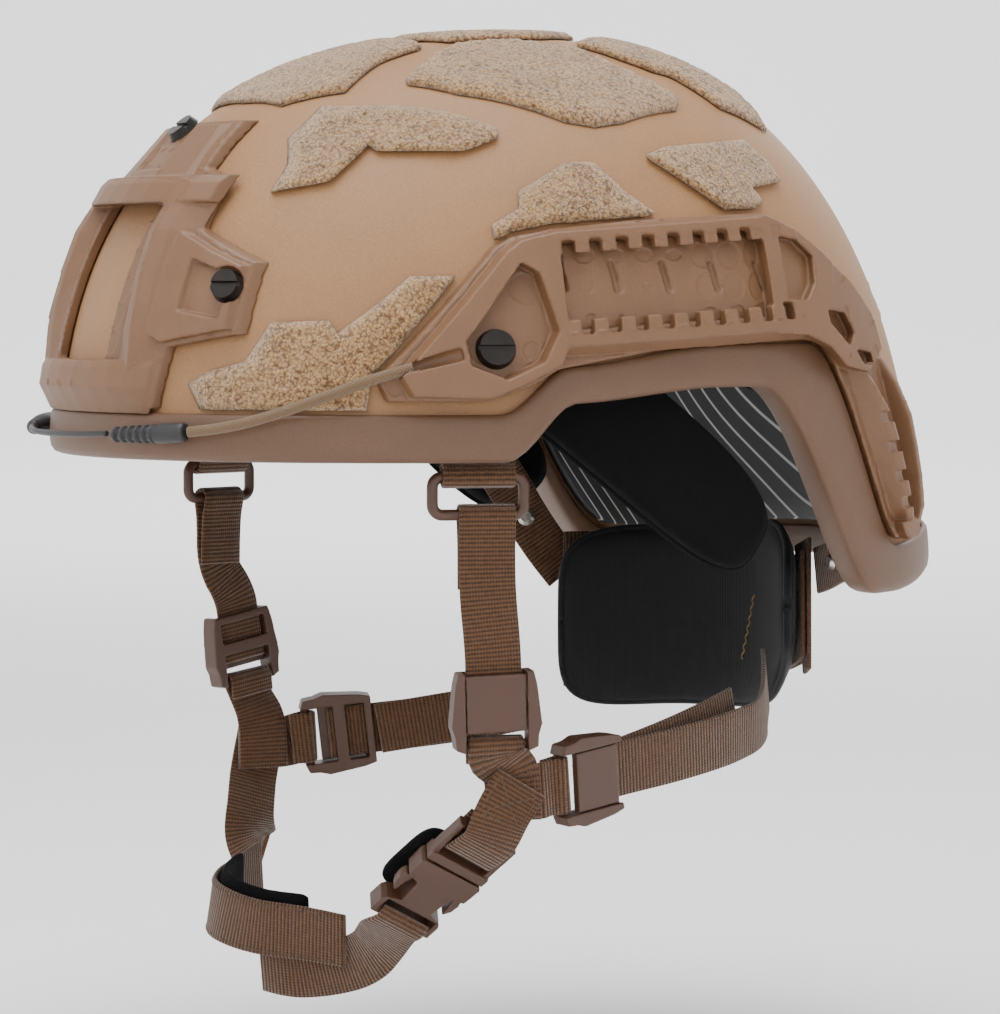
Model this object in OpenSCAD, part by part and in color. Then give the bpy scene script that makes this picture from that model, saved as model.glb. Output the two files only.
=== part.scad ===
// High-cut combat helmet with side rails, front shroud, loop patches, pads and a four-point harness.
// Millimetres. X to the wearer's left, -Y to the front, Z up, origin at the underside of the crown pad.

/* [Shell] */
// Reach of the shell in front of the crown axis
shell_front = 158; // [152:1:164]
// Reach of the shell behind the crown axis
shell_rear = 117; // [112:1:122]
// Half width of the shell
shell_half_w = 112; // [108:1:116]
// Height from the widest line of the shell to its crown
shell_h = 164; // [160:1:168]
// Thickness of the laminated shell
shell_t = 8.5; // [7:0.5:9.5]
// Distance that the crown lies in front of the widest line's centre
crown_shift = 13; // [8:1:18]
// Fullness of the shell seen from the side, 2 is an ellipse
side_fullness = 2.45; // [2.2:0.05:2.7]
// Fullness of the shell seen from above, 2 is an ellipse
plan_fullness = 2.17; // [2:0.05:2.4]

/* [Rim] */
// Drop from the crown to the rim at the brow
brow_drop = 129.5; // [126:0.5:133]
// First steep rise of the rim behind the temple
temple_rise = 17; // [13:1:20]
// Slow rise of the rim along the ear
ear_rise = 4.5; // [2:0.5:7]
// Drop of the rim from the ear to the nape
nape_drop = 64; // [60:1:66]
// Rise of the rim from the corner behind the ear to the nape
nape_rise = 5; // [2:0.5:7]
// Place along Y where the rim starts to rise at the temple
temple_y = -64; // [-68:1:-60]
// Place along Y where the rim starts to drop behind the ear
ear_back_y = 18; // [14:1:22]
// Length along Y of the drop behind the ear
ear_back_l = 46; // [42:1:50]
// Height of the edge trim at the brow
trim_h = 14; // [12:0.5:15]
// How far the edge trim stands proud of the shell
trim_proud = 2.6; // [2:0.2:3.4]
// Thickness of the trim under the shell's edge
trim_lip = 3; // [2.4:0.2:4]
// Height of the trim inside the shell
trim_inner_h = 10; // [8:0.5:12]
// Thickness of the trim inside the shell
trim_inner_t = 2.1; // [1.6:0.1:2.4]
// Gap between the trim and the shell
trim_gap = 0.8; // [0.6:0.1:1]
// Extra room under the shell's edge, for its steep parts
edge_slack = 0.4; // [0.2:0.1:0.8]

/* [Liner and pads] */
// Thickness of the impact liner
liner_t = 4.6; // [4:0.2:6]
// Gap between the shell and the liner
liner_gap = 0.9; // [0.7:0.1:1.2]
// Height of the liner's edge above the trim's bottom edge
liner_lift = 13; // [12:0.5:16]
// Thickness of the crown pad
crown_pad_t = 11.9; // [10:0.1:16]
// Thickness of the brow, back and side pads
side_pad_t = 14; // [10:0.5:17]
// Length of a side pad
side_pad_l = 118; // [104:1:126]
// Width of a side pad
side_pad_w = 33; // [28:1:38]
// Slope of a side pad, down towards the back
side_pad_slope = 39; // [34:1:44]
// Thickness of the nape pad
nape_pad_t = 8; // [6:0.5:10]
// Radius of the nape pad's bend
nape_r = 56; // [52:1:60]
// Height of the nape pad
nape_h = 62; // [54:1:66]
// Angle that the nape pad spans round the neck
nape_span = 112; // [106:1:116]
// Gap between a pad and the liner
pad_gap = 1.1; // [0.9:0.1:1.4]

/* [Loop patches] */
// Thickness of a loop patch
patch_t = 2.4; // [1.6:0.2:3]
// Gap of the adhesive under a patch, rail or shroud
seat_gap = 0.4; // [0.3:0.1:0.6]

/* [Front shroud] */
// Half width of the window in the shroud
window_half_w = 21; // [19:0.5:23]
// Top of the window, below the origin
window_top = 26; // [25:0.5:28]
// Bottom of the window, below the origin
window_bottom = 73; // [71:0.5:75]
// Thickness of the shroud's plate
shroud_plate_t = 2.8; // [2.4:0.2:4]
// Height of the shroud's frame over the shell
shroud_frame_h = 9; // [8:0.5:10.5]
// Ledge between the window and the frame's posts
post_ledge = 5; // [4:0.5:6]
// Width of the frame's posts at their foot
shroud_post_w = 18; // [17:0.5:19]
// Height of the raised rim round each ear's screw
ear_rim_h = 2.4; // [1.8:0.2:3]

/* [Side rails] */
// Thickness of a rail's plate
rail_plate_t = 3.4; // [3:0.2:4.2]
// Height of a rail's toothed lips over the shell
rail_lip_h = 9; // [8:0.5:10]
// Distance from tooth to tooth
tooth_pitch = 8.5; // [8.2:0.1:8.7]
// Width of the notch between two teeth
notch_w = 4; // [3:0.2:4.6]
// Depth of the notches
notch_d = 4.4; // [3:0.2:5]
// Width of a rail's lips
lip_w = 7.4; // [6.6:0.2:8]
// Height of the channel under a rail's lips, over the shell
lip_under = 5.6; // [5:0.2:6]
// Height of the rear arm's crest over the shell
arm_crest_h = 11; // [10:0.5:12]
// Gap between a rail's lower edge and the trim
rail_edge = 1; // [0.8:0.1:1.6]
// Radius of a rail screw's head
rail_screw_r = 6; // [5.5:0.1:6.4]
// Radius of a shroud screw's head
shroud_screw_r = 5.2; // [4.8:0.1:5.6]
// Radius of every screw's shank
shank_r = 2.5; // [2.2:0.1:2.8]
// Running gap round a shank
shank_gap = 0.3; // [0.2:0.05:0.4]
// Gap round a screw's head in its counterbore
head_gap = 0.5; // [0.3:0.1:0.8]

/* [Harness] */
// Width of the harness webbing
web_w = 17; // [16:0.5:18]
// Thickness of the harness webbing
web_t = 1.4; // [1.2:0.1:1.6]
// Width of the webbing of the two hangers
hanger_w = 22; // [20:0.5:23]
// Thickness of the wire that a hanger ring is made of
ring_d = 3.4; // [3:0.1:3.8]
// Length of an adjuster
adj_l = 24; // [22:0.5:26]
// Thickness of an adjuster's lever
lever_t = 2.6; // [2.2:0.1:3]
// Radius of an adjuster's hinge pin
hinge_pin_r = 0.9; // [0.8:0.05:1.1]
// Clearance round a hinge pin
hinge_gap = 0.15; // [0.1:0.05:0.2]

/* [Chin buckle] */
// Width of the buckle
buckle_w = 22; // [21:0.5:24]
// Length of the socket half
socket_l = 26; // [25:0.5:28]
// Thickness of the buckle
buckle_t = 7; // [6.4:0.2:8]
// Wall of the socket half
socket_wall = 1.3; // [1.1:0.1:1.5]
// Running clearance inside the socket
socket_gap = 0.3; // [0.25:0.05:0.4]

/* [Bungee] */
// Diameter of the elastic cord
bungee_d = 3.2; // [2.8:0.1:3.4]
// Radius of a bungee grip
grip_r = 3; // [2.6:0.1:3.2]
// Diameter of the hook loop
loop_d = 1.8; // [1.6:0.1:2]

/* [Hidden] */
$fn = 40;

tan = "#a5866a";
tan_rail = "#9c7c62";
tan_loop = "#c9ad84";
web_brown = "#7a6248";
plastic_brown = "#7d5f4c";
black = "#1c1b1c";
steel = "#2f2c2a";

crown_stack = shell_t + liner_gap + liner_t + pad_gap + crown_pad_t;
base_z = crown_stack - shell_h;
liner_outer = -(shell_t + liner_gap);
liner_inner = liner_outer - liner_t;
pad_outer = liner_inner - pad_gap;
trim_inner_off = -(shell_t + trim_gap + trim_inner_t);

// The rim seen from the side: level at the brow, up over the ear, down to the nape
function ramp(v, a, b) = let(t = min(1, max(0, (v - a) / (b - a)))) t * t * (3 - 2 * t);
function rim_z(y) = crown_stack - brow_drop
    + temple_rise * ramp(y, temple_y, temple_y + 22)
    + ear_rise * ramp(y, temple_y + 18, 6)
    - nape_drop * ramp(y, ear_back_y, ear_back_y + ear_back_l)
    + nape_rise * ramp(y, ear_back_y + ear_back_l + 10, ear_back_y + ear_back_l + 48);
function trim_top_z(y) = crown_stack - brow_drop + trim_h
    + (temple_rise - 3) * ramp(y, temple_y - 2, temple_y + 20)
    + (ear_rise + 2) * ramp(y, temple_y + 18, 6)
    - (nape_drop - 1.5) * ramp(y, ear_back_y + 20, ear_back_y + ear_back_l + 10)
    + nape_rise * ramp(y, ear_back_y + ear_back_l + 10, ear_back_y + ear_back_l + 48);

// The dome: every piece on or in the shell lies at an offset from this one surface
function plan_k(lon) = pow(pow(abs(cos(lon)), plan_fullness)
    + pow(abs(sin(lon)), plan_fullness), -1 / plan_fullness);
function side_q(lat) = pow(pow(abs(cos(lat)), side_fullness)
    + pow(abs(sin(lat)), side_fullness), -1 / side_fullness);
function reach(lon, off) = (sin(lon) < 0 ? shell_front : shell_rear) + off;
function dome(lon, lat, off) =
    let(k = plan_k(lon), q = side_q(lat), r = cos(lat) * q)
    [(shell_half_w + off) * cos(lon) * k * r,
     reach(lon, off) * sin(lon) * k * r - crown_shift * sin(lat) * q,
     base_z + (shell_h + off) * sin(lat) * q];
function belt(zz) = pow(1 - pow(min(1, abs(zz)), side_fullness), 1 / side_fullness);
function level(z, off) = (z - base_z) / (shell_h + off);
// Points of the dome from the two coordinates that a side, front, rear or top view shows
function side_pt(y, z, off) =
    let(zz = level(z, off), yy = y + crown_shift * zz,
        a = (yy < 0 ? shell_front : shell_rear) + off,
        s = max(0, pow(belt(zz), plan_fullness) - pow(abs(yy) / a, plan_fullness)))
    [(shell_half_w + off) * pow(s, 1 / plan_fullness), y, z];
function end_pt(x, z, off, rear) =
    let(zz = level(z, off), a = (rear ? shell_rear : -shell_front) + (rear ? off : -off),
        s = max(0, pow(belt(zz), plan_fullness)
            - pow(abs(x) / (shell_half_w + off), plan_fullness)))
    [x, a * pow(s, 1 / plan_fullness) - crown_shift * zz, z];
function top_level(x, y, off, zz, n) = n == 0 ? zz :
    let(yy = y + crown_shift * zz, a = (yy < 0 ? shell_front : shell_rear) + off,
        r = min(1, pow(pow(abs(x) / (shell_half_w + off), plan_fullness)
            + pow(abs(yy) / a, plan_fullness), 1 / plan_fullness)))
    top_level(x, y, off, pow(1 - pow(r, side_fullness), 1 / side_fullness), n - 1);
function top_pt(x, y, off) = [x, y, base_z + (shell_h + off) * top_level(x, y, off, 1, 6)];
function view_pt(view, a, b, off) =
    view == "side" ? side_pt(a, b, off) :
    view == "top" ? top_pt(a, b, off) :
    end_pt(a, b, off, view == "rear");
// The surface normal there, and a point raised straight along it
function normal(view, a, b) = unit(cross(
    view_pt(view, a + 1, b, 0) - view_pt(view, a - 1, b, 0),
    view_pt(view, a, b + 1, 0) - view_pt(view, a, b - 1, 0)));
function raised(view, p) = view_pt(view, p[0], p[1], 0) + p[2] * normal(view, p[0], p[1]);

// A point on the dome at a height over the rim (or over the trim's top line) at one longitude
function rim_level(lon, off, lift, top, zz, n) = n == 0 ? zz :
    let(y = reach(lon, off) * sin(lon) * plan_k(lon) * belt(zz) - crown_shift * zz,
        z = (top ? trim_top_z(y) : rim_z(y)) + lift)
    rim_level(lon, off, lift, top, level(z, off), n - 1);
function level_pt(lon, off, zz) = let(k = plan_k(lon), r = belt(zz))
    [(shell_half_w + off) * cos(lon) * k * r,
     reach(lon, off) * sin(lon) * k * r - crown_shift * zz,
     base_z + (shell_h + off) * zz];
function rim_pt(lon, off, lift, top = false) = level_pt(lon, off, rim_level(lon, off, lift, top, 0.2, 6));
// Halfway between the trim's lip and its top line
function trim_mid_pt(lon, off) = level_pt(lon, off,
    (rim_level(lon, off, trim_lip, false, 0.2, 6) + rim_level(lon, off, 0, true, 0.2, 6)) / 2);
function rim_lat(lon, off, lift) = let(zz = rim_level(lon, off, lift, false, 0.2, 6))
    atan2(zz, belt(zz));

function unit(v) = v / norm(v);
function flat(lists) = [for (list = lists) for (item = list) item];
function total(v, i = 0) = i == len(v) - 1 ? v[i] : v[i] + total(v, i + 1);
function split(q) = [[q[0], q[1], q[2]], [q[0], q[2], q[3]]];
// Triangles between ring i and ring i + 1 of n points each
function band_faces(i, n) = flat([for (j = [0:n - 1])
    split([i * n + j, i * n + (j + 1) % n, (i + 1) * n + (j + 1) % n, (i + 1) * n + j])]);

// Longitudes of the shell's columns, closer together round the ear
half_ring = concat([for (a = [-90:6:-30]) a], [for (a = [-27:3:36]) a], [for (a = [42:6:90]) a]);
coarse_half = concat([for (a = [-90:9:-36]) a], [for (a = [-27:6:33]) a], [for (a = [42:8:90]) a]);
function full_ring(half) = concat(half, [for (i = [len(half) - 2:-1:1]) 180 - half[i]]);
mid_lat = 24;

// A closed cup between two offsets of the dome, open at the rim
module cup(half, off_out, off_in, lift, crown_rows, rim_rows) {
    ring = full_ring(half);
    n = len(ring);
    rows = crown_rows + rim_rows;
    function lat_at(lon, off, j) = j <= crown_rows
        ? 90 - (90 - mid_lat) * j / crown_rows
        : mid_lat + (rim_lat(lon, off, lift) - mid_lat) * (j - crown_rows) / rim_rows;
    outer = flat([for (j = [1:rows]) [for (lon = ring) dome(lon, lat_at(lon, off_out, j), off_out)]]);
    inner = flat([for (j = [rows:-1:1]) [for (lon = ring) dome(lon, lat_at(lon, off_in, j), off_in)]]);
    last = 2 * rows * n;
    polyhedron(
        points = concat(outer, inner, [dome(0, 90, off_out), dome(0, 90, off_in)]),
        faces = concat(
            [for (j = [0:n - 1]) [last, (j + 1) % n, j]],
            flat([for (i = [0:2 * rows - 2]) band_faces(i, n)]),
            [for (j = [0:n - 1]) [last + 1, (2 * rows - 1) * n + j, (2 * rows - 1) * n + (j + 1) % n]]),
        convexity = 6);
}

// A grid between two offsets of the dome, over a rectangle of one view
module skin(view, a0, a1, b0, b1, off0, off1, step) {
    na = max(1, ceil((a1 - a0) / step));
    nb = max(1, ceil((b1 - b0) / step));
    n = (na + 1) * (nb + 1);
    function at(i, j, off) = view_pt(view, a0 + (a1 - a0) * i / na, b0 + (b1 - b0) * j / nb, off);
    points = flat([for (off = [off1, off0]) flat([for (j = [0:nb]) [for (i = [0:na]) at(i, j, off)]])]);
    function id(i, j, k) = k * n + j * (na + 1) + i;
    faces = concat(
        flat([for (j = [0:nb - 1], i = [0:na - 1])
            split([id(i, j, 0), id(i, j + 1, 0), id(i + 1, j + 1, 0), id(i + 1, j, 0)])]),
        flat([for (j = [0:nb - 1], i = [0:na - 1])
            split([id(i, j, 1), id(i + 1, j, 1), id(i + 1, j + 1, 1), id(i, j + 1, 1)])]),
        flat([for (i = [0:na - 1]) split([id(i, 0, 0), id(i + 1, 0, 0), id(i + 1, 0, 1), id(i, 0, 1)])]),
        flat([for (i = [0:na - 1]) split([id(i, nb, 0), id(i, nb, 1), id(i + 1, nb, 1), id(i + 1, nb, 0)])]),
        flat([for (j = [0:nb - 1]) split([id(0, j, 0), id(0, j, 1), id(0, j + 1, 1), id(0, j + 1, 0)])]),
        flat([for (j = [0:nb - 1]) split([id(na, j, 0), id(na, j + 1, 0), id(na, j + 1, 1), id(na, j, 1)])]));
    rear = view == "rear";
    polyhedron(points = points,
        faces = rear ? [for (f = faces) [f[2], f[1], f[0]]] : faces, convexity = 4);
}

// An outline of one view pushed straight through the dome
module prism(view, outline) {
    if (view == "side") rotate([90, 0, 90]) linear_extrude(180) polygon(outline);
    if (view == "top") translate([0, 0, -90]) linear_extrude(160) polygon(outline);
    if (view == "front") rotate([90, 0, 0]) linear_extrude(220) polygon(outline);
    if (view == "rear") translate([0, 180, 0]) rotate([90, 0, 0]) linear_extrude(180) polygon(outline);
}

// A plate of any outline that lies on the dome between two offsets
module plate(view, outline, off0, off1, step = 11) {
    xs = [for (p = outline) p[0]];
    ys = [for (p = outline) p[1]];
    intersection() {
        skin(view, min(xs) - 1, max(xs) + 1, min(ys) - 1, max(ys) + 1, off0, off1, step);
        prism(view, outline);
    }
}

// A frame on the dome: local Z is the surface normal, local X runs along the view's first coordinate
module on_dome(view, a, b, off) {
    p = view_pt(view, a, b, off);
    n = normal(view, a, b);
    side = view_pt(view, a + 1, b, off) - view_pt(view, a - 1, b, off);
    u = unit(side - (side * n) * n);
    v = cross(n, u);
    multmatrix([[u.x, v.x, n.x, p.x], [u.y, v.y, n.y, p.y], [u.z, v.z, n.z, p.z], [0, 0, 0, 1]])
        children();
}

// A frame given by its origin, its X direction and its Y direction
module in_frame(f) {
    y = unit(f[2]);
    x = unit(f[1] - (f[1] * y) * y);
    z = cross(x, y);
    p = f[0];
    multmatrix([[x.x, y.x, z.x, p.x], [x.y, y.y, z.y, p.y], [x.z, y.z, z.z, p.z], [0, 0, 0, 1]])
        children();
}

module mirrored() mirror([1, 0, 0]) children();
module both_sides() {
    children();
    mirrored() children();
}

// Soft, crowned pad on the dome: flat on its seat, full in the middle, sides drawn in
module dome_pad(view, center, half_a, half_b, tilt, off, thick, corner = 3) {
    cols = 24;
    rows = 4;
    function rim(v) = sign(v) * pow(abs(v), 2 / corner);
    function spot(rho, ang) =
        let(a = half_a * rho * rim(cos(ang)), b = half_b * rho * rim(sin(ang)))
        [center[0] + a * cos(tilt) - b * sin(tilt), center[1] + a * sin(tilt) + b * cos(tilt)];
    function at(rho, ang, depth) = let(p = spot(rho, ang)) view_pt(view, p[0], p[1], off - depth);
    levels = concat(
        [for (i = [1:rows - 1]) [0.94 * i / (rows - 1), 0]],
        [[1, 0.3 * thick]],
        [for (i = [rows - 1:-1:1]) let(t = 0.92 * i / (rows - 1)) [t, thick * (1 - 0.35 * pow(t, 4))]]);
    count = len(levels);
    points = concat(flat([for (l = levels) [for (j = [0:cols - 1]) at(l[0], j * 360 / cols, l[1])]]),
        [at(0, 0, 0), at(0, 0, thick)]);
    last = count * cols;
    faces = concat(
        [for (j = [0:cols - 1]) [last, (j + 1) % cols, j]],
        flat([for (i = [0:count - 2]) band_faces(i, cols)]),
        [for (j = [0:cols - 1]) [last + 1, (count - 1) * cols + j, (count - 1) * cols + (j + 1) % cols]]);
    polyhedron(points = points,
        faces = view == "rear" ? [for (f = faces) [f[2], f[1], f[0]]] : faces, convexity = 4);
}

// A closed solid through rings of the same number of points, each ring convex
module tube(rings) {
    m = len(rings);
    n = len(rings[0]);
    end = (m - 1) * n;
    turn = total([for (j = [1:n - 2]) cross(rings[0][j] - rings[0][0], rings[0][j + 1] - rings[0][0])])
        * (rings[1][0] - rings[0][0]);
    faces = concat([for (j = [1:n - 2]) [0, j + 1, j]],
        flat([for (i = [0:m - 2]) band_faces(i, n)]),
        [for (j = [1:n - 2]) [end, end + j, end + j + 1]]);
    polyhedron(points = flat(rings),
        faces = turn > 0 ? [for (f = faces) [f[2], f[1], f[0]]] : faces, convexity = 6);
}

// Sections of [first coordinate, second coordinate, height] joined over the dome
module loft(view, sections) tube([for (s = sections) [for (p = s) view_pt(view, p[0], p[1], p[2])]]);
module square_loft(view, sections) tube([for (s = sections) [for (p = s) raised(view, p)]]);

// Flat webbing along a path of [centre, width direction] pairs
module ribbon(path, w, t) {
    n = len(path);
    function way(i) = unit(path[min(n - 1, i + 1)][0] - path[max(0, i - 1)][0]);
    tube([for (i = [0:n - 1])
        let(c = path[i][0], d = way(i), s = unit(path[i][1] - (path[i][1] * d) * d), u = cross(d, s))
        [c + s * w / 2 - u * t / 2, c - s * w / 2 - u * t / 2,
         c - s * w / 2 + u * t / 2, c + s * w / 2 + u * t / 2]]);
}

// Round cord along a list of points
module cord(points, d, sides) {
    n = len(points);
    function way(i) = unit(points[min(n - 1, i + 1)] - points[max(0, i - 1)]);
    tube([for (i = [0:n - 1])
        let(w = way(i), u = unit(cross(w, [0, 0, 1])), v = cross(u, w))
        [for (j = [0:sides - 1]) points[i] + d / 2 * (cos(j * 360 / sides) * u + sin(j * 360 / sides) * v)]]);
}

// Places of the screws: view, two coordinates
shroud_screw_at = [["front", 0, -6], ["front", 57, -52], ["front", -57, -52]];
rail_screw_at = [["side", -66, -70]];
shroud_top = seat_gap + shroud_plate_t;
rail_top = seat_gap + rail_plate_t;
ear_floor = shroud_top + 0.2;
rail_sink = rail_top + 0.2;

// A hole square to the dome, from inside the helmet to well outside it
module dome_bore(s, r) on_dome(s[0], s[1], s[2], 0) translate([0, 0, -40]) cylinder(r = r, h = 70);
module shank_bores(r) {
    for (s = shroud_screw_at) dome_bore(s, r);
    both_sides() for (s = rail_screw_at) dome_bore(s, r);
}

module shell() {
    color(tan) difference() {
        cup(half_ring, 0, -shell_t, trim_lip + trim_gap + edge_slack, 7, 3);
        shank_bores(shank_r + shank_gap);
    }
}

module edge_trim() {
    ring = full_ring(half_ring);
    n = len(ring);
    in_face = -(shell_t + trim_gap);
    section = [for (lon = ring) [
        rim_pt(lon, trim_gap, 0, true),
        rim_pt(lon, trim_proud - 0.6, -0.4, true),
        rim_pt(lon, trim_proud, -2, true),
        trim_mid_pt(lon, trim_proud),
        rim_pt(lon, trim_proud, 3.6),
        rim_pt(lon, trim_proud - 1.8, 0.4),
        rim_pt(lon, -shell_t / 2, 0),
        rim_pt(lon, trim_inner_off + 0.6, 0.6),
        rim_pt(lon, trim_inner_off, 2.4),
        rim_pt(lon, trim_inner_off, trim_inner_h),
        rim_pt(lon, in_face, trim_inner_h),
        rim_pt(lon, in_face, trim_lip),
        rim_pt(lon, trim_gap, trim_lip),
        trim_mid_pt(lon, trim_gap)
    ]];
    m = len(section[0]);
    color(tan_rail) polyhedron(points = flat(section),
        faces = flat([for (i = [0:n - 1], j = [0:m - 1])
            split([i * m + j, ((i + 1) % n) * m + j, ((i + 1) % n) * m + (j + 1) % m, i * m + (j + 1) % m])]),
        convexity = 8);
}

module impact_liner() {
    color(black) difference() {
        cup(coarse_half, liner_outer, liner_inner, liner_lift, 6, 2);
        shank_bores(nut_r + 1);
    }
}

module crown_pad() color(black)
    dome_pad("top", [0, -13], 46, 52, 0, pad_outer, crown_pad_t);
module brow_pad() color(black)
    dome_pad("front", [0, -68], 52, 21, 0, pad_outer, side_pad_t);
module back_pad() color(black)
    dome_pad("rear", [0, -66], 40, 20, 0, pad_outer, side_pad_t);
module side_pad(place, slope) color(black)
    dome_pad("side", place, side_pad_l / 2, side_pad_w / 2, -slope, pad_outer, side_pad_t, 3.6);
module left_side_pad() side_pad([-20, -93], side_pad_slope);
// The pads are held by loop fastener: the right one sits a little higher, further back and steeper
module right_side_pad() mirrored() side_pad([-8, -80], side_pad_slope + 6);

// Outlines of the loop patches, in the view named beside each
crown_front_outline = [[28, -57], [32, -73], [41, -88], [29, -104], [9, -108],
    [-9, -108], [-29, -104], [-41, -88], [-32, -73], [-28, -57]];
crown_top_outline = [[6, -52], [24, -46], [24, -14], [9, 4], [-9, 4], [-24, -14], [-24, -46], [-6, -52]];
crown_rear_outline = [[36, -8], [47, 2], [52, 10], [52, 16], [61, 29], [56, 48],
    [-56, 48], [-61, 29], [-52, 16], [-52, 10], [-47, 2], [-36, -8], [-15, 12], [15, 12]];
back_outline = [[14, -38], [34, -48], [38, -60], [30, -70], [-30, -70], [-38, -60], [-34, -48], [-14, -38]];
upper_front_outline = [[-117, -23], [-103, -20], [-90, -9], [-88, -11], [-65, -11], [-54, -7],
    [-53, -4], [-65, 1], [-77, 3], [-96, 3], [-108, -7], [-111, -15]];
crown_side_outline = [[49, -72], [60, -59], [67, -46], [75, -31], [77, -22], [76, -12], [70, 9], [66, 12],
    [58, -1], [45, -11], [34, -28], [33, -47], [43, -63]];
over_rail_outline = [[-62, -37.2], [-62, -33], [-53, -28], [-52, -23], [-35, -14], [-27, -14],
    [-19, -23], [-11, -29], [-14, -30.2], [-45, -32.6], [-57, -35]];
rear_side_outline = [[-9, -12], [-1, -9], [31, -6], [35, -10], [39, -13], [41, -19], [27, -21],
    [30, -25], [26, -27.5], [14, -28]];
lower_front_outline = [[-141, -87], [-143, -80], [-139, -76], [-130.5, -73], [-123.5, -61.5], [-110, -61],
    [-108, -65], [-94, -54], [-87, -48], [-75, -48], [-93.5, -69.5], [-100.5, -77], [-102, -87]];

module patch(view, outline) color(tan_loop) plate(view, outline, seat_gap, seat_gap + patch_t);
module patch_crown_front() patch("top", crown_front_outline);
module patch_crown_top() patch("top", crown_top_outline);
module patch_crown_rear() patch("top", crown_rear_outline);
module patch_back() patch("rear", back_outline);
module patches_upper_front() both_sides() patch("side", upper_front_outline);
module patches_crown_side() both_sides() patch("top", crown_side_outline);
module patches_over_rail() both_sides() patch("side", over_rail_outline);
module patches_rear_side() both_sides() patch("side", rear_side_outline);
module patches_lower_front() both_sides() patch("side", lower_front_outline);

// Front shroud, drawn on the front view and mirrored about the centre
shroud_half = [[28, -1], [31, -16], [39, -18], [43, -34], [63, -44], [65, -65], [46, -69], [44, -87]];
function mirror_outline(half) = concat(half, [for (i = [len(half) - 1:-1:0]) [-half[i][0], half[i][1]]]);
// Height of a post's section, distance of its ridge from its foot and how far the ridge is over the frame
post_ridge = [[-19, 8.5, -0.6], [-28, 9, -0.6], [-34, 9.5, 0], [-46, 10.5, -0.5], [-56, 11.5, -0.8],
    [-64, 11.5, -1.4], [-74, 11.5, -2.4], [-82, 10.5, -3]];
post_foot = window_half_w + post_ledge;
frame_half_w = post_foot + shroud_post_w;
plateau_h = 4.8;
// Sections along the hood and the lip: share of the half width and how much lower the bar is there
bar_sections = [[-1, 3.4], [-0.86, 1.2], [-0.7, 0.5], [-0.5, 0.2], [-0.25, 0], [0, 0],
    [0.25, 0], [0.5, 0.2], [0.7, 0.5], [0.86, 1.2], [1, 3.4]];

module nvg_shroud() {
    sunk = shroud_top - 0.8;
    window = [[-window_half_w, -window_top], [window_half_w, -window_top],
        [window_half_w, -window_bottom], [-window_half_w, -window_bottom]];
    color(tan_rail) difference() {
        union() {
            difference() {
                plate("front", mirror_outline(shroud_half), seat_gap, shroud_top, 8);
                prism("front", window);
            }
            both_sides() loft("front", [for (p = post_ridge)
                let(z = p[0], x = post_foot + p[1], h = shroud_frame_h + p[2])
                [[post_foot, z, sunk], [x - 4.5, z, h - 1.5], [x, z, h], [x + 3, z, h - 1.7],
                 [frame_half_w, z, sunk]]]);
            loft("front", [for (b = bar_sections) let(x = frame_half_w * b[0], h = shroud_frame_h - b[1])
                [[x, -17.5, sunk], [x, -17.8, h - 0.8], [x, -20, h], [x, -25.5, h - 0.2], [x, -window_top, h - 0.8],
                 [x, -window_top, sunk]]]);
            loft("front", [for (b = bar_sections) let(x = (frame_half_w - 1) * b[0], h = shroud_frame_h - b[1])
                [[x, -window_bottom, sunk], [x, -window_bottom, h - 2.3], [x, -window_bottom - 2, h - 1.4],
                 [x, -81, h - 1.2], [x, -88.6, sunk + 0.6], [x, -89, sunk]]]);
            both_sides() loft("front", [
                [[10, -2, sunk], [10.5, -2, plateau_h], [23, -2, plateau_h], [27, -2, sunk]],
                [[10, -18.5, sunk], [10.5, -18.5, plateau_h], [27, -18.5, plateau_h], [30.5, -18.5, sunk]]]);
            loft("front", [for (x = [-12, 0, 12])
                [[x, -15, sunk], [x, -15.6, plateau_h], [x, -18.5, plateau_h], [x, -18.5, sunk]]]);
            both_sides() plate("front", [[41, -35], [62.5, -45], [64, -63.5], [46, -67.5], [41, -65]],
                sunk, shroud_top + ear_rim_h, 14);
        }
        both_sides() plate("front", [[47.5, -42.5], [60, -47], [61.5, -60.5], [49, -58]], ear_floor, 14, 14);
        for (s = shroud_screw_at) {
            dome_bore(s, shank_r + shank_gap);
            on_dome(s[0], s[1], s[2], 0) translate([0, 0, s[1] == 0 ? shroud_top : ear_floor])
                cylinder(r = shroud_screw_r + head_gap, h = 20);
        }
    }
}

// A slotted round head on a shank, seated at the height sink over the shell
module slotted_screw(r, h, sink, shank_l) {
    color(steel) difference() {
        union() {
            translate([0, 0, sink + 0.1]) cylinder(r1 = r, r2 = r - 0.8, h = h);
            translate([0, 0, sink + 0.1 - shank_l]) cylinder(r = shank_r, h = shank_l + 0.5);
        }
        translate([-r - 1, -0.7, sink + h - 1.1]) cube([2 * r + 2, 1.4, 3]);
    }
}

module shroud_screws() {
    for (i = [0:2]) {
        s = shroud_screw_at[i];
        sink = i == 0 ? shroud_top : ear_floor;
        on_dome(s[0], s[1], s[2], 0)
            slotted_screw(shroud_screw_r, 2.8, sink, sink + shell_t + front_extra + nut_t);
    }
}

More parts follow.
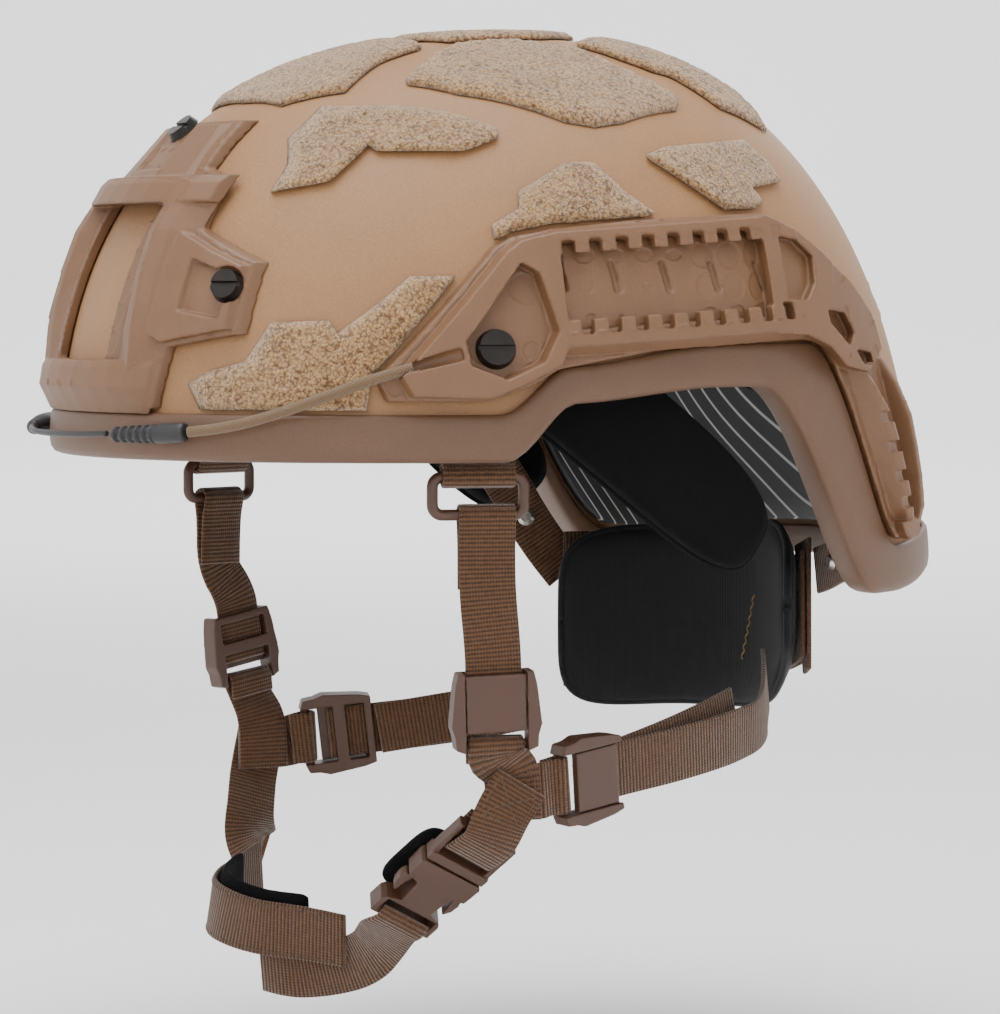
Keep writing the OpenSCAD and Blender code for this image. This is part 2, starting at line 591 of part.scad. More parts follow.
// Round nuts inside the shell, which is a little thicker square to its front corners
nut_r = 7;
nut_t = 2.2;
front_extra = 1.8;
side_extra = 0.8;
module shell_nuts() color(steel) {
    for (s = shroud_screw_at) on_dome(s[0], s[1], s[2], 0) nut(front_extra);
    both_sides() for (s = rail_screw_at) on_dome(s[0], s[1], s[2], 0) nut(side_extra);
}
module nut(extra) translate([0, 0, -shell_t - extra - nut_t]) difference() {
    cylinder(r = nut_r, h = nut_t);
    translate([0, 0, -1]) cylinder(r = shank_r + shank_gap, h = nut_t + 2);
}

// Side rail, drawn on the side view
rail_outline = concat(
    [[-97, -75], [-99, -79], [-97, -84.5], [-71, -84.5], [-62, -82], [-55, -79]],
    [for (y = [-49:14:35]) [y, trim_top_z(y) + rail_edge]],
    [for (y = [41:5:76]) [y + 0.6, trim_top_z(y) + rail_edge + 0.5]],
    [[80, -128.5], [81, -124], [79.5, -113], [77.5, -101], [75, -88], [72, -76], [69.5, -69], [65, -58],
     [56, -49], [44, -39.5], [36, -34], [24, -29], [-20, -31.5], [-45, -34.2], [-58, -36.5], [-64, -40],
     [-92, -70]]);
front_block = [[-95, -77], [-92, -83], [-71, -83.5], [-62, -80], [-50, -74], [-47, -68], [-47, -35],
    [-58, -37.5], [-63, -41], [-90, -71]];
front_pocket = [[-59, -44], [-54, -47], [-50, -64], [-55, -73], [-66, -78], [-76, -74], [-77, -67]];
rear_block = [[21, -30], [24, -29.5], [36, -34.5], [43.5, -40], [55, -49.5], [63.5, -59], [66, -70],
    [58, -77], [48, -75], [42, -69], [33, -65.5], [21, -65]];
rear_pocket = [[27, -36], [34, -37], [39.5, -42], [38.5, -50], [34.5, -55], [27, -55]];
rear_slot = [[42.5, -58], [50, -59], [53, -65], [50.5, -69], [43, -62]];
rear_recess = [[53, -70], [60, -71], [61, -75], [56, -74.5]];
rear_arm_foot = [[70, -123], [79.5, -122], [80.5, -126], [79, -128], [74, -128.4], [71.5, -126]];
// Sections of the rear arm: height, near edge, crest, back edge, height of the crest under its highest
arm_sections = [[-74, 49, 52, 69, 5], [-82, 51, 55.5, 71, 2], [-92, 55, 60, 73.5, 0], [-101, 58.5, 63, 75.5, 0],
    [-110, 62, 65.5, 77, 0], [-119, 66, 68.5, 78.5, 0.5], [-126, 71.5, 73, 79, 3]];
arm_notch_at = [[60, -92], [62.9, -100.7], [65.3, -109.4], [68, -117.4]];
lip_y0 = -47;
upper_y1 = 23;
lower_y1 = 33;
first_upper_notch = -44.3;
first_lower_notch = -41.3;
floor_slot_at = [-45.4, -29, -12.5, 4, 20.5];
floor_slot_z = -48;
floor_slot_w = 1.8;
floor_slot_l = 9.6;
floor_slot_lean = 9;
function upper_z(y) = -34.2 + (y - lip_y0) * 0.07;
function lower_z(y) = -68.3 + (y - lip_y0) * 0.06;

// Toothed lips: a wall and, over the channel, a lip that the notches cut
module lips() {
    sunk = rail_top - 0.5;
    steps = 8;
    h = rail_lip_h;
    upper = [for (i = [0:steps]) lip_y0 + (upper_y1 - lip_y0) * i / steps];
    lower = [for (i = [0:steps]) lip_y0 + (lower_y1 - lip_y0) * i / steps];
    loft("side", [for (y = upper) let(z = upper_z(y))
        [[y, z, sunk], [y, z - 0.8, h], [y, z - 4, h - 0.2], [y, z - 4, sunk]]]);
    loft("side", [for (y = upper) let(z = upper_z(y))
        [[y, z - 3, lip_under], [y, z - 3, h - 0.1], [y, z - lip_w, h - 0.5], [y, z - lip_w, lip_under]]]);
    loft("side", [for (y = lower) let(z = lower_z(y))
        [[y, z - 3.5, sunk], [y, z, h], [y, z + 4, h + 0.4], [y, z + 4, sunk]]]);
    loft("side", [for (y = lower) let(z = lower_z(y))
        [[y, z + 3, lip_under], [y, z + 3, h + 0.3], [y, z + lip_w, h], [y, z + lip_w, lip_under]]]);
}

module rear_arm() {
    sunk = rail_top - 0.5;
    square_loft("side", [for (s = arm_sections) let(z = s[0], c = s[2], h = arm_crest_h - s[4])
        [[s[1], z, sunk], [c - 1.8, z, h - 0.8], [c, z, h], [c + 1.4, z, h - 0.4], [c + 2.2, z, sunk]]]);
    square_loft("side", [for (s = arm_sections) let(z = s[0], b = s[3], h = arm_crest_h - 1 - s[4])
        [[b - 3.4, z, sunk], [b - 3, z, h], [b - 1, z, h], [b, z, sunk]]]);
}

cord_tunnel_r = bungee_d / 2 + 0.3;
module rail() {
    color(tan_rail) difference() {
        union() {
            plate("side", rail_outline, seat_gap, rail_top, 10);
            plate("side", front_block, rail_top - 0.5, rail_lip_h, 14);
            plate("side", rear_block, rail_top - 0.5, rail_lip_h, 14);
            plate("side", rear_arm_foot, rail_top - 0.5, rail_lip_h, 16);
            rear_arm();
            lips();
        }
        plate("side", front_pocket, rail_sink, 16, 20);
        plate("side", rear_pocket, rail_sink + 2, 16, 20);
        plate("side", rear_slot, rail_sink + 1, 16, 20);
        plate("side", rear_recess, rail_sink + 1, 16, 20);
        for (i = [0:7]) let(y = first_upper_notch + i * tooth_pitch)
            on_dome("side", y, upper_z(y) - lip_w, rail_lip_h)
                translate([-notch_w / 2, -1, lip_under - rail_lip_h - 0.6]) cube([notch_w, notch_d + 1, 8]);
        for (i = [0:8]) let(y = first_lower_notch + i * tooth_pitch)
            on_dome("side", y, lower_z(y) + lip_w, rail_lip_h)
                translate([-notch_w / 2, -notch_d, lip_under - rail_lip_h - 0.6]) cube([notch_w, notch_d + 1, 8]);
        for (y = floor_slot_at)
            on_dome("side", y, floor_slot_z, rail_top) rotate([0, 0, floor_slot_lean])
                translate([-floor_slot_w / 2, -floor_slot_l / 2, -1.2]) cube([floor_slot_w, floor_slot_l, 3]);
        for (p = arm_notch_at)
            on_dome("side", p[0], p[1], 0) translate([-3.4, -1.7, arm_crest_h - 2.4]) cube([6, 3.4, 6]);
        for (s = rail_screw_at) {
            dome_bore(s, shank_r + shank_gap);
            on_dome(s[0], s[1], s[2], 0) translate([0, 0, rail_sink])
                cylinder(r = rail_screw_r + head_gap, h = 20);
        }
        in_frame([bungee_route[0], [0, 0, 1], bungee_route[0] - bungee_route[1]])
            rotate([90, 0, 0]) cylinder(r = cord_tunnel_r, h = 30, center = true);
    }
}
module left_rail() rail();
module right_rail() mirrored() rail();
module rail_screws() both_sides() for (s = rail_screw_at)
    on_dome(s[0], s[1], s[2], 0)
        slotted_screw(rail_screw_r, 3.4, rail_sink, rail_sink + shell_t + side_extra + nut_t);

// Elastic cord from the rail's hole round the brow to its grip
bungee_route = [[99.5, -91.5, -74.5], [96.5, -98, -76.5], [93, -105, -79], [88, -113, -82.5], [83, -121, -86],
    [77.5, -128.5, -89], [72, -135.2, -91.3], [67, -140.6, -92.6], [61, -146.3, -93.5]];
grip_route = [[60.4, -146.8, -93.6], [56, -150.2, -94], [52, -153, -94.2], [47, -155.8, -94.4],
    [42, -158.4, -94.6], [36, -161, -94.8]];
module bungee() color(web_brown) cord(bungee_route, bungee_d, 8);
module left_bungee() bungee();
module right_bungee() mirrored() bungee();

// Ribbed rubber grip that narrows to its ribs
module grip() color(black) {
    in_frame([(grip_route[0] + grip_route[2]) / 2, [0, 0, 1], grip_route[2] - grip_route[0]])
        rotate([90, 0, 0]) cylinder(r = grip_r, h = norm(grip_route[2] - grip_route[0]), center = true);
    ribs = 6;
    a = grip_route[2];
    b = grip_route[5];
    for (i = [0:ribs - 1])
        in_frame([a + (b - a) * (i + 0.5) / ribs, [0, 0, 1], b - a])
            rotate([-90, 0, 0]) cylinder(r1 = grip_r - 0.1 * i, r2 = grip_r - 1 - 0.1 * i,
                h = norm(b - a) / ribs + 0.3, center = true);
}
module left_grip() grip();
module right_grip() mirrored() grip();

hook_route = [[34, -162, -94.5], [26, -165, -95], [14, -167.5, -95.3], [0, -168.3, -95.4],
    [-14, -167.5, -95.3], [-26, -165, -95], [-34, -162, -94.5]];
module hook_loop() color(black) cord(hook_route, loop_d, 6);

// Harness frames: origin, width direction, direction up along the webbing
ring_left = [[90, -66.5, -112.5], [0.24, 0.97, 0], [0, 0, 1]];
ring_right = [[-87.3, -79.3, -115], [0.37, -0.93, 0], [0, 0, 1]];
function hanging(f) = [unit(f[1]), unit(f[2]), cross(unit(f[1]), unit(f[2]))];
ring_half_w = hanger_w / 2 + 1 + ring_d / 2;
ring_half_h = 5.6;

// Rounded rectangular ring of round wire
module wire_ring() {
    r = ring_d / 2;
    c = 3;
    color(plastic_brown) {
        for (sx = [-1, 1]) {
            translate([sx * ring_half_w, 0, 0]) rotate([90, 0, 0])
                cylinder(r = r, h = 2 * (ring_half_h - c), center = true);
            translate([0, sx * ring_half_h, 0]) rotate([0, 90, 0])
                cylinder(r = r, h = 2 * (ring_half_w - c), center = true);
            for (sy = [-1, 1])
                translate([sx * (ring_half_w - c), sy * (ring_half_h - c), 0])
                    rotate([0, 0, sx > 0 ? (sy > 0 ? 0 : -90) : (sy > 0 ? 90 : 180)])
                        rotate_extrude(angle = 90) translate([c, 0]) circle(r = r);
        }
    }
}
module left_ring() in_frame(ring_left) wire_ring();
module right_ring() in_frame(ring_right) wire_ring();

// Webbing bent round a bar: half turn about c, from the back to the front
function half_turn(c, up, out, w, r, rise) = [for (a = [0:30:180])
    [c - r * cos(a) * out + rise * r * sin(a) * up, w]];
wrap_r = ring_d / 2 + 0.35 + web_t / 2;

// Hanger: a folded tab that leans in behind the trim, with the ring in its loop
module hanger(f, lean) {
    v = hanging(f);
    out = v[2];
    c = f[0] + ring_half_h * v[1];
    top = 14;
    ply = (web_t + 0.3) / 2;
    color(web_brown) ribbon(concat(
        [[c + top * v[1] - (lean + ply) * out, v[0]], [c + 4.5 * v[1] - (lean + ply) * out, v[0]]],
        half_turn(c, v[1], out, v[0], wrap_r, -1),
        [[c + 2.2 * v[1] + 2 * out, v[0]], [c + 4.5 * v[1] - (lean - ply) * out, v[0]],
         [c + top * v[1] - (lean - ply) * out, v[0]]]),
        hanger_w, web_t);
}
module left_hanger() hanger(ring_left, 1.7);
module right_hanger() hanger(ring_right, 3.5);

// Adjusters: origin, width direction, direction up the webbing and away from the junction
adj_left_front = [[91.5, -62, -176], [0.2, 0.98, 0], [0.06, -0.05, 1]];
adj_right_front = [[-89.3, -70.3, -171], [0.3, -0.95, -0.12], [0.02, -0.16, 1]];
adj_left_rear = [[83, -28, -198.5], [-0.1, 0.12, -1], [-0.28, 0.95, 0.12]];
adj_right_rear = [[-81.4, -39.4, -200], [0.1, -0.1, 1], [0.3, 0.95, 0.12]];
adj_bar_r = 1.4;
adj_arm_t = 3;
adj_arm_x = web_w / 2 + 0.9;
adj_end_y = adj_l / 2 - adj_bar_r - 0.3;
hinge_y = adj_end_y - 0.5;
hinge_z = web_t / 2 + 0.3 + lever_t / 2;

// Ladder frame of an adjuster: two shaped arms, an end bar, a clamp bar and a top bar
module adjuster() {
    color(plastic_brown) difference() {
        union() {
            both_sides() translate([0, 0, -2.2]) linear_extrude(hinge_z + hinge_pin_r + 3.1)
                polygon([[adj_arm_x, -adj_l / 2], [adj_arm_x + adj_arm_t, -adj_l / 2 + 1.2],
                    [adj_arm_x + adj_arm_t + 0.3, -adj_l / 4 - 1], [adj_arm_x + adj_arm_t + 1.3, -adj_l / 8 - 1],
                    [adj_arm_x + adj_arm_t, adj_l / 3], [adj_arm_x + adj_arm_t - 1, adj_l / 2],
                    [adj_arm_x, adj_l / 2]]);
            translate([0, -adj_end_y, 0]) rotate([0, 90, 0])
                cylinder(r = adj_bar_r, h = 2 * adj_arm_x + 1, center = true);
            translate([-adj_arm_x - 0.5, -1, -2.2]) cube([2 * adj_arm_x + 1, 4, 2.2 - web_t / 2 - 0.3]);
            translate([-adj_arm_x - 0.5, adj_l / 2 - 2.4, -2.2])
                cube([2 * adj_arm_x + 1, 2.4, 2.2 - web_t / 2 - 0.3]);
        }
        translate([0, hinge_y, hinge_z]) rotate([0, 90, 0])
            cylinder(r = hinge_pin_r + hinge_gap, h = 2 * adj_arm_x + 3, center = true);
    }
}

// Cam lever over the webbing, with its two hinge pins
module lever() {
    half = adj_arm_x - 0.3;
    color(plastic_brown) union() {
        translate([0, hinge_y, hinge_z]) rotate([0, 90, 0])
            cylinder(r = lever_t / 2, h = 2 * half, center = true);
        translate([0, hinge_y, hinge_z]) rotate([0, 90, 0])
            cylinder(r = hinge_pin_r, h = 2 * half + 2.6, center = true);
        translate([-half, -adj_l / 4, hinge_z - lever_t / 2]) cube([2 * half, hinge_y + adj_l / 4, lever_t]);
    }
}
module left_front_adjuster() in_frame(adj_left_front) adjuster();
module right_front_adjuster() in_frame(adj_right_front) adjuster();
module left_rear_adjuster() in_frame(adj_left_rear) adjuster();
module right_rear_adjuster() in_frame(adj_right_rear) adjuster();
module left_front_lever() in_frame(adj_left_front) lever();
module right_front_lever() in_frame(adj_right_front) lever();
module left_rear_lever() in_frame(adj_left_rear) lever();
module right_rear_lever() in_frame(adj_right_rear) lever();

// Where the front, rear and chin webbing are sewn together: place and outward direction
joint_left = [[89.4, -54.8, -201], [0.97, -0.24, 0]];
joint_right = [[-87, -64.6, -203], [-1, 0, 0]];
layer = web_t + 0.5;
bar_wrap = adj_bar_r + 0.35 + web_t / 2;
// Path through a joint: direction turned from straight up, layer outwards, ends along the direction
function joint_path(j, turn, k, ends) =
    let(t = cross([0, 0, 1], j[1]), d = cos(turn) * [0, 0, 1] + sin(turn) * t,
        w = cos(turn) * t - sin(turn) * [0, 0, 1])
    [for (s = ends) [j[0] + s * d + k * layer * j[1], w]];

// Upper run: folded over the ring's lower bar and led under the adjuster's lever
module upper_run(ring, adj, shift) {
    v = hanging(ring);
    a = hanging(adj);
    c = ring[0] - ring_half_h * v[1] + shift * v[0];
    ribbon(concat(
        [[c - 22 * v[1] - 0.6 * v[2], v[0]], [c - 7 * v[1] - 0.9 * v[2], v[0]]],
        half_turn(c, v[1], v[2], v[0], wrap_r, 1),
        [[c - 7 * v[1] + 1.4 * v[2], v[0]], [c - 22 * v[1] + 1.5 * v[2], v[0]],
         [adj[0] + (adj_l / 2 + 6) * a[1], a[0]], [adj[0] + (adj_l / 2 - 2) * a[1], a[0]],
         [adj[0] - 4 * a[1], a[0]]]),
        web_w, web_t);
}

// Lower run: folded over the adjuster's end bar and led down to the sewn joint
module lower_run(adj, tail) {
    a = hanging(adj);
    c = adj[0] - adj_end_y * a[1];
    ribbon(concat(
        [[c - 5.5 * a[1] - 1.8 * a[2], a[0]], [c - 3.5 * a[1] - 1.8 * a[2], a[0]]],
        half_turn(c, a[1], a[2], a[0], bar_wrap, 1),
        [[c - 4.5 * a[1] + 0.2 * a[2], a[0]]], tail),
        web_w, web_t);
}

module left_front_strap() color(web_brown) {
    upper_run(ring_left, adj_left_front, 2.4);
    lower_run(adj_left_front, joint_path(joint_left, 0, 0, [7, -8]));
}
module right_front_strap() color(web_brown) {
    upper_run(ring_right, adj_right_front, 0);
    lower_run(adj_right_front, joint_path(joint_right, 0, -1, [8, -8]));
}

// Rear webbing from the adjuster: an outer run to the fold and an inner run to the pad's corner
module rear_strap(adj, tail, outer, inner) {
    a = hanging(adj);
    lower_run(adj, tail);
    ribbon(concat([[adj[0] - 3 * a[1], a[0]], [adj[0] + (adj_l / 2 + 4) * a[1], a[0]]], outer), web_w, web_t);
    ribbon(concat([[adj[0] + (adj_l / 2 + 1.5) * a[1] - 2.4 * a[2], a[0]]], inner), web_w, web_t);
}
rear_outer_left = [[[74, 8, -194], [-0.1, 0.1, -1]], [[67, 27, -191.5], [-0.1, 0.05, -1]],
    [[61.5, 37, -190], [-0.2, 0.15, -1]], [[57, 45, -188.5], [-0.3, 0.2, -1]], [[51, 50.5, -186], [-0.2, 0.2, -1]],
    [[44, 54.5, -182], [-0.1, 0.1, -1]], [[36.8, 58.8, -177.5], [0, 0.1, -1]], [[28, 63.2, -175], [0, 0.1, -1]]];
rear_inner_left = [[[70, 6, -192], [-0.1, 0.2, -1]], [[62, 25, -187.5], [-0.1, 0.3, -1]],
    [[54.5, 38, -184.5], [-0.1, 0.3, -1]]];
rear_outer_right = [[[-70.5, -10, -196.5], [0.1, -0.1, 1]], [[-64, 10, -193.5], [0.1, -0.1, 1]],
    [[-60.5, 20, -191.5], [0.1, -0.1, 1]]];
rear_inner_right = [[[-67, -10, -195.5], [0.1, -0.1, 1]], [[-61, 8, -192.5], [0.1, -0.1, 1]],
    [[-58, 14, -190.5], [0.1, -0.1, 1]]];
module left_rear_strap() color(web_brown) rear_strap(adj_left_rear,
    joint_path(joint_left, 90, -1, [9, -8]), rear_outer_left, rear_inner_left);
module right_rear_strap() color(web_brown) rear_strap(adj_right_rear,
    joint_path(joint_right, -90, 0, [9.5, -8]), rear_outer_right, rear_inner_right);

// Nape pad: bent round the neck, turned a little to the right as it hangs
nape_c = [9, 18];
nape_turn = 25;
nape_z = -162;
nape_arch = 5;
near_share = 0.62;
// How far the near end of the nape pad is drawn up
near_lift = 10;
function nape_pt(ang, z, off) = [nape_c[0] + (nape_r + off) * cos(90 + nape_turn + ang),
    nape_c[1] + (nape_r + off) * sin(90 + nape_turn + ang), z + near_lift * ramp(-ang, 8, nape_span / 2)];

// Crowned pad along the neck's curve, its lower edge arched between the corners
module nape_pad() {
    cols = 28;
    rows = 5;
    function rim(v) = sign(v) * pow(abs(v), 0.42);
    function at(rho, ang, off) =
        let(a = nape_span / 2 * rho * rim(cos(ang)), b = rho * rim(sin(ang)),
            arch = b < 0 ? nape_arch * (1 - pow(a / (nape_span / 2), 2)) * -b : 0,
            share = 1 - (1 - near_share) * ramp(-a / (nape_span / 2), 0.45, 1))
        nape_pt(a, nape_z + nape_h / 2 * b * share + arch, off);
    levels = concat(
        [for (i = [1:rows - 1]) let(t = 0.95 * i / (rows - 1)) [t, -nape_pad_t / 2 * (1 - 0.4 * pow(t, 6))]],
        [[1, 0]],
        [for (i = [rows - 1:-1:1]) let(t = 0.95 * i / (rows - 1)) [t, nape_pad_t / 2 * (1 - 0.4 * pow(t, 6))]]);
    count = len(levels);
    last = count * cols;
    faces = concat(
        [for (j = [0:cols - 1]) [last, j, (j + 1) % cols]],
        flat([for (i = [0:count - 2]) [for (f = band_faces(i, cols)) [f[2], f[1], f[0]]]]),
        [for (j = [0:cols - 1]) [last + 1, (count - 1) * cols + (j + 1) % cols, (count - 1) * cols + j]]);
    color(black) polyhedron(
        points = concat(flat([for (l = levels) [for (j = [0:cols - 1]) at(l[0], j * 360 / cols, l[1])]]),
            [at(0, 0, -nape_pad_t / 2), at(0, 0, nape_pad_t / 2)]),
        faces = faces, convexity = 4);
}

// Woven backing behind the nape pad and the webbing sewn down its two ends
module nape_band(a0, a1, z0, z1, off, t) {
    steps = max(1, ceil(abs(a1 - a0) / 12));
    path = [for (i = [0:steps]) [nape_pt(a0 + (a1 - a0) * i / steps, (z0 + z1) / 2, off), [0, 0, 1]]];
    ribbon(path, z1 - z0, t);
}
backing_off = nape_pad_t / 2 + 0.4 + web_t / 2;
module nape_backing() color(web_brown) {
    half = nape_span / 2;
    low = near_share * nape_h / 2;
    nape_band(-half + 4, half - 4, nape_z - low + 2, nape_z + low - 2, backing_off, web_t);
    nape_band(-half * 0.55, half - 4, nape_z - nape_h / 2 + 14, nape_z + nape_h / 2 - 6,
        backing_off + layer, web_t);
    nape_band(-half + 3, -half + 19, nape_z - low - 2, nape_z + low + 2, backing_off + layer, web_t);
    nape_band(half - 20, half - 3, nape_z - nape_h / 2 + 8, nape_z + nape_h / 2 - 2,
        backing_off + 2 * layer, web_t);
}

// Tabs that tie the nape pad's top corners to the inside of the shell, each with a snap
tab_left = [[[35, 78.4, -142], [0, 0, 1]], [[42, 78, -140.5], [0, 0, 1]], [[48, 77.8, -138.5], [0, 0, 1]],
    [[58, 76.5, -136], [0, 0, 1]], [[69, 73, -134], [0, 0, 1]]];
tab_right = [[[-56.6, 33.5, -147], [0.15, 0.8, 0.4]], [[-58.5, 27.5, -139], [0.25, 0.8, 0.5]],
    [[-62.5, 21.5, -128.5], [0.35, 0.8, 0.5]], [[-68.5, 17.5, -117.5], [0.45, 0.75, 0.5]],
    [[-75, 14, -109], [0.45, 0.75, 0.5]]];
module left_nape_tab() color(web_brown) ribbon(tab_left, web_w - 2, web_t);
module right_nape_tab() color(web_brown) ribbon(tab_right, web_w - 2, web_t);
// Snap on the front face of a tab, at its third point
module snap(tab) {
    along = unit(tab[3][0] - tab[1][0]);
    across = unit(tab[2][1] - (tab[2][1] * along) * along);
    way = cross(along, across);
    out = way.y < 0 ? way : -way;
    color("#b9b4ad") in_frame([tab[2][0] + (web_t / 2 + 0.6) * out, cross(across, out), across])
        cylinder(r1 = 2.9, r2 = 1.8, h = 1.4);
}
module nape_snaps() {
    snap(tab_left);
    snap(tab_right);
}

// Chin buckle: origin at the socket's mouth, X across, Y towards the plug, Z outwards
buckle = [[72, -66.7, -224.5], [-0.079, 0.867, -0.492], [0.667, 0.393, 0.634]];
prong_in = 6.6;
prong_z = buckle_t / 2 - socket_wall - socket_gap;
mouth_x = buckle_w / 2 - 1.6;
mouth_l = 7.8;
tail_y = -18.5;

module buckle_socket() {
    h = buckle_w / 2;
    color(plastic_brown) in_frame(buckle) difference() {
        translate([0, 0, -buckle_t / 2]) linear_extrude(buckle_t) polygon(mirror_outline(
            [[h - 0.6, 0], [h, -1], [h - 0.4, -mouth_l], [6.3, -mouth_l - 1.2], [5.5, tail_y + 1],
             [h - 1, tail_y - 0.5], [h, tail_y - 2], [h, -socket_l]]));
        translate([-mouth_x, -mouth_l - 1.8, -buckle_t / 2 + socket_wall])
            cube([2 * mouth_x, mouth_l + 2.8, buckle_t - 2 * socket_wall]);
        translate([-3, tail_y + 2, -buckle_t / 2 + socket_wall])
            cube([6, -tail_y, buckle_t - 2 * socket_wall]);
        translate([-web_w / 2 - 0.6, -socket_l + 2.6, -buckle_t])
            cube([web_w + 1.2, socket_l + tail_y - 3.4, 2 * buckle_t]);
    }
}

plug_l = 17;
plug_bar_y = 8.4;
plug_bar_r = 1.2;
module buckle_plug() {
    h = buckle_w / 2;
    color(plastic_brown) in_frame(buckle) union() {
        translate([-h + 0.4, 0.6, -buckle_t / 2 + 0.4]) cube([2 * h - 0.8, 3.4, buckle_t - 0.8]);
        translate([-2.5, -12, -1.5]) cube([5, 13, 3]);
        for (s = [-1, 1]) translate([s * (h - 1.3) - 0.9, 3, -2]) cube([1.8, plug_l - 3, 4]);
        translate([0, plug_bar_y, 0]) rotate([0, 90, 0]) cylinder(r = plug_bar_r, h = 2 * h - 4, center = true);
        translate([-h + 0.4, plug_l - 2, -2]) cube([2 * h - 0.8, 2, 3]);
    }
}

// Spring arm of the plug, hooked behind the mouth wall, for the side with positive X
module prong() translate([0, 0, -prong_z]) linear_extrude(2 * prong_z)
    polygon([[prong_in, 0.3], [prong_in + 2, 0.3], [prong_in + 2.2, -mouth_l - 0.8], [buckle_w / 2 - 0.4, -8.8],
        [buckle_w / 2 + 0.2, -11], [buckle_w / 2 - 0.1, -14], [9.6, -16.4], [9, -16.4], [8.5, -12],
        [7.3, -8], [prong_in, -6]]);
module buckle_prong_lower() color(plastic_brown) in_frame(buckle) prong();
module buckle_prong_upper() color(plastic_brown) in_frame(buckle) mirrored() prong();

// Chin webbing: left run from the sewn joint to the plug's bar
buckle_v = hanging(buckle);
plug_bar = buckle[0] + plug_bar_y * buckle_v[1];
plug_wrap = plug_bar_r + 0.35 + web_t / 2;
module chin_strap_left() color(web_brown) {
    ribbon(concat(
        joint_path(joint_left, 32, 1, [4, -7]),
        [[plug_bar + 9.5 * buckle_v[1] + 3.7 * buckle_v[2], buckle_v[0]],
         [plug_bar + 5 * buckle_v[1] + 3.3 * buckle_v[2], buckle_v[0]]],
        [for (a = [0:30:180]) [plug_bar + plug_wrap * (cos(a) * buckle_v[2] - sin(a) * buckle_v[1]), buckle_v[0]]],
        [[plug_bar + 5 * buckle_v[1] - 3.2 * buckle_v[2], buckle_v[0]],
         [plug_bar + 11 * buckle_v[1] - 3.4 * buckle_v[2], buckle_v[0]]]),
        web_w, web_t);
}

// Right run from the sewn joint down to the chin cup
chin_right_route = concat(joint_path(joint_right, -12, 1, [7, -10]), [
    [[-86, -68.5, -218.5], [0.1, -0.95, 0.1]], [[-79.5, -72, -229], [0.2, -0.85, -0.2]],
    [[-69, -75, -235.5], [0.1, -0.6, -0.75]], [[-60.5, -75.5, -238], [0, -0.2, -1]]]);
module chin_strap_right() color(web_brown) ribbon(chin_right_route, web_w, web_t);

// Chin cup: webbing round the front of the chin and a second run under it, up to the socket
cup_route = [[[-57, -77, -239.8], [0, 0.1, 1]], [[-51, -85, -241.8], [0, 0.1, 1]],
    [[-44.5, -92, -243.5], [0, 0.1, 1]], [[-33, -103, -245], [0, 0.15, 1]], [[-17, -110, -246.5], [0, 0.15, 1]],
    [[0, -103.5, -250], [0.1, 0.15, 1]], [[15, -92.5, -250.5], [0.2, 0.1, 1]], [[28, -83, -252], [0.3, 0, 1]]];
under_route = [[[42, -77.5, -250.5], [0.1, -0.6, 0.8]], [[35, -77.5, -255.5], [0, -0.3, 0.95]],
    [[25.5, -80.8, -260], [0, -0.12, 1]], [[11.5, -89.5, -263.6], [0, -0.15, 1]],
    [[4, -95.5, -263.6], [0.1, -0.2, 0.97]], [[-2, -98.5, -262.9], [0.1, -0.2, 0.97]]];
socket_bar = buckle[0] - (socket_l - 1.3) * buckle_v[1];
socket_wrap = buckle_t / 2 + 0.35 + web_t / 2;
module chin_cup() color(web_brown) {
    ribbon(cup_route, web_w, web_t);
    v = buckle_v;
    ribbon(concat(
        [[socket_bar + 2.9 * v[1] + (socket_wrap - 1.2) * v[2], v[0]],
         [socket_bar + 1.2 * v[1] + socket_wrap * v[2], v[0]],
         [socket_bar - 1.6 * v[1] + socket_wrap * v[2], v[0]],
         [socket_bar - 6 * v[1] + (socket_wrap - 2.2) * v[2], v[0]]],
        [for (p = under_route) [p[0], -p[1]]]),
        web_w, web_t);
}

// Soft lining inside the chin cup, standing a little above it
lining_t = 2.6;
lining_up = 4;
module chin_pad() {
    n = len(cup_route);
    inset = (web_t + lining_t) / 2 + 1.3;
    function inner(i) =
        let(d = unit(cup_route[min(n - 1, i + 1)][0] - cup_route[max(0, i - 1)][0]),
            u = unit(cross(d, cup_route[i][1])))
        [cup_route[i][0] - inset * u + lining_up * unit(cup_route[i][1]), cup_route[i][1]];
    color(black) ribbon([for (i = [2:n - 2]) inner(i)], web_w - 2, lining_t);
}

// Soft guard behind the buckle, edged with binding
module chin_loop_tab() color(black) in_frame(buckle)
    translate([-13, -21, -buckle_t / 2 - 3.4]) cube([18, 27, 2]);

shell();
edge_trim();
impact_liner();
crown_pad();
brow_pad();
back_pad();
left_side_pad();
right_side_pad();
patch_crown_front();
patch_crown_top();
patch_crown_rear();
patch_back();
patches_upper_front();
patches_crown_side();
patches_over_rail();
patches_rear_side();
patches_lower_front();
nvg_shroud();
shroud_screws();
left_rail();
right_rail();
rail_screws();
shell_nuts();
left_bungee();
right_bungee();
left_grip();
right_grip();
hook_loop();
left_hanger();
right_hanger();
left_ring();
right_ring();
left_front_strap();
right_front_strap();
left_rear_strap();
right_rear_strap();
left_front_adjuster();
right_front_adjuster();
left_rear_adjuster();
right_rear_adjuster();
left_front_lever();
right_front_lever();
left_rear_lever();
right_rear_lever();
nape_pad();
nape_backing();
left_nape_tab();
right_nape_tab();
nape_snaps();
chin_strap_right();
chin_strap_left();
chin_cup();
chin_pad();
chin_loop_tab();
buckle_socket();
buckle_plug();
buckle_prong_upper();
buckle_prong_lower();
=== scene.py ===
import math

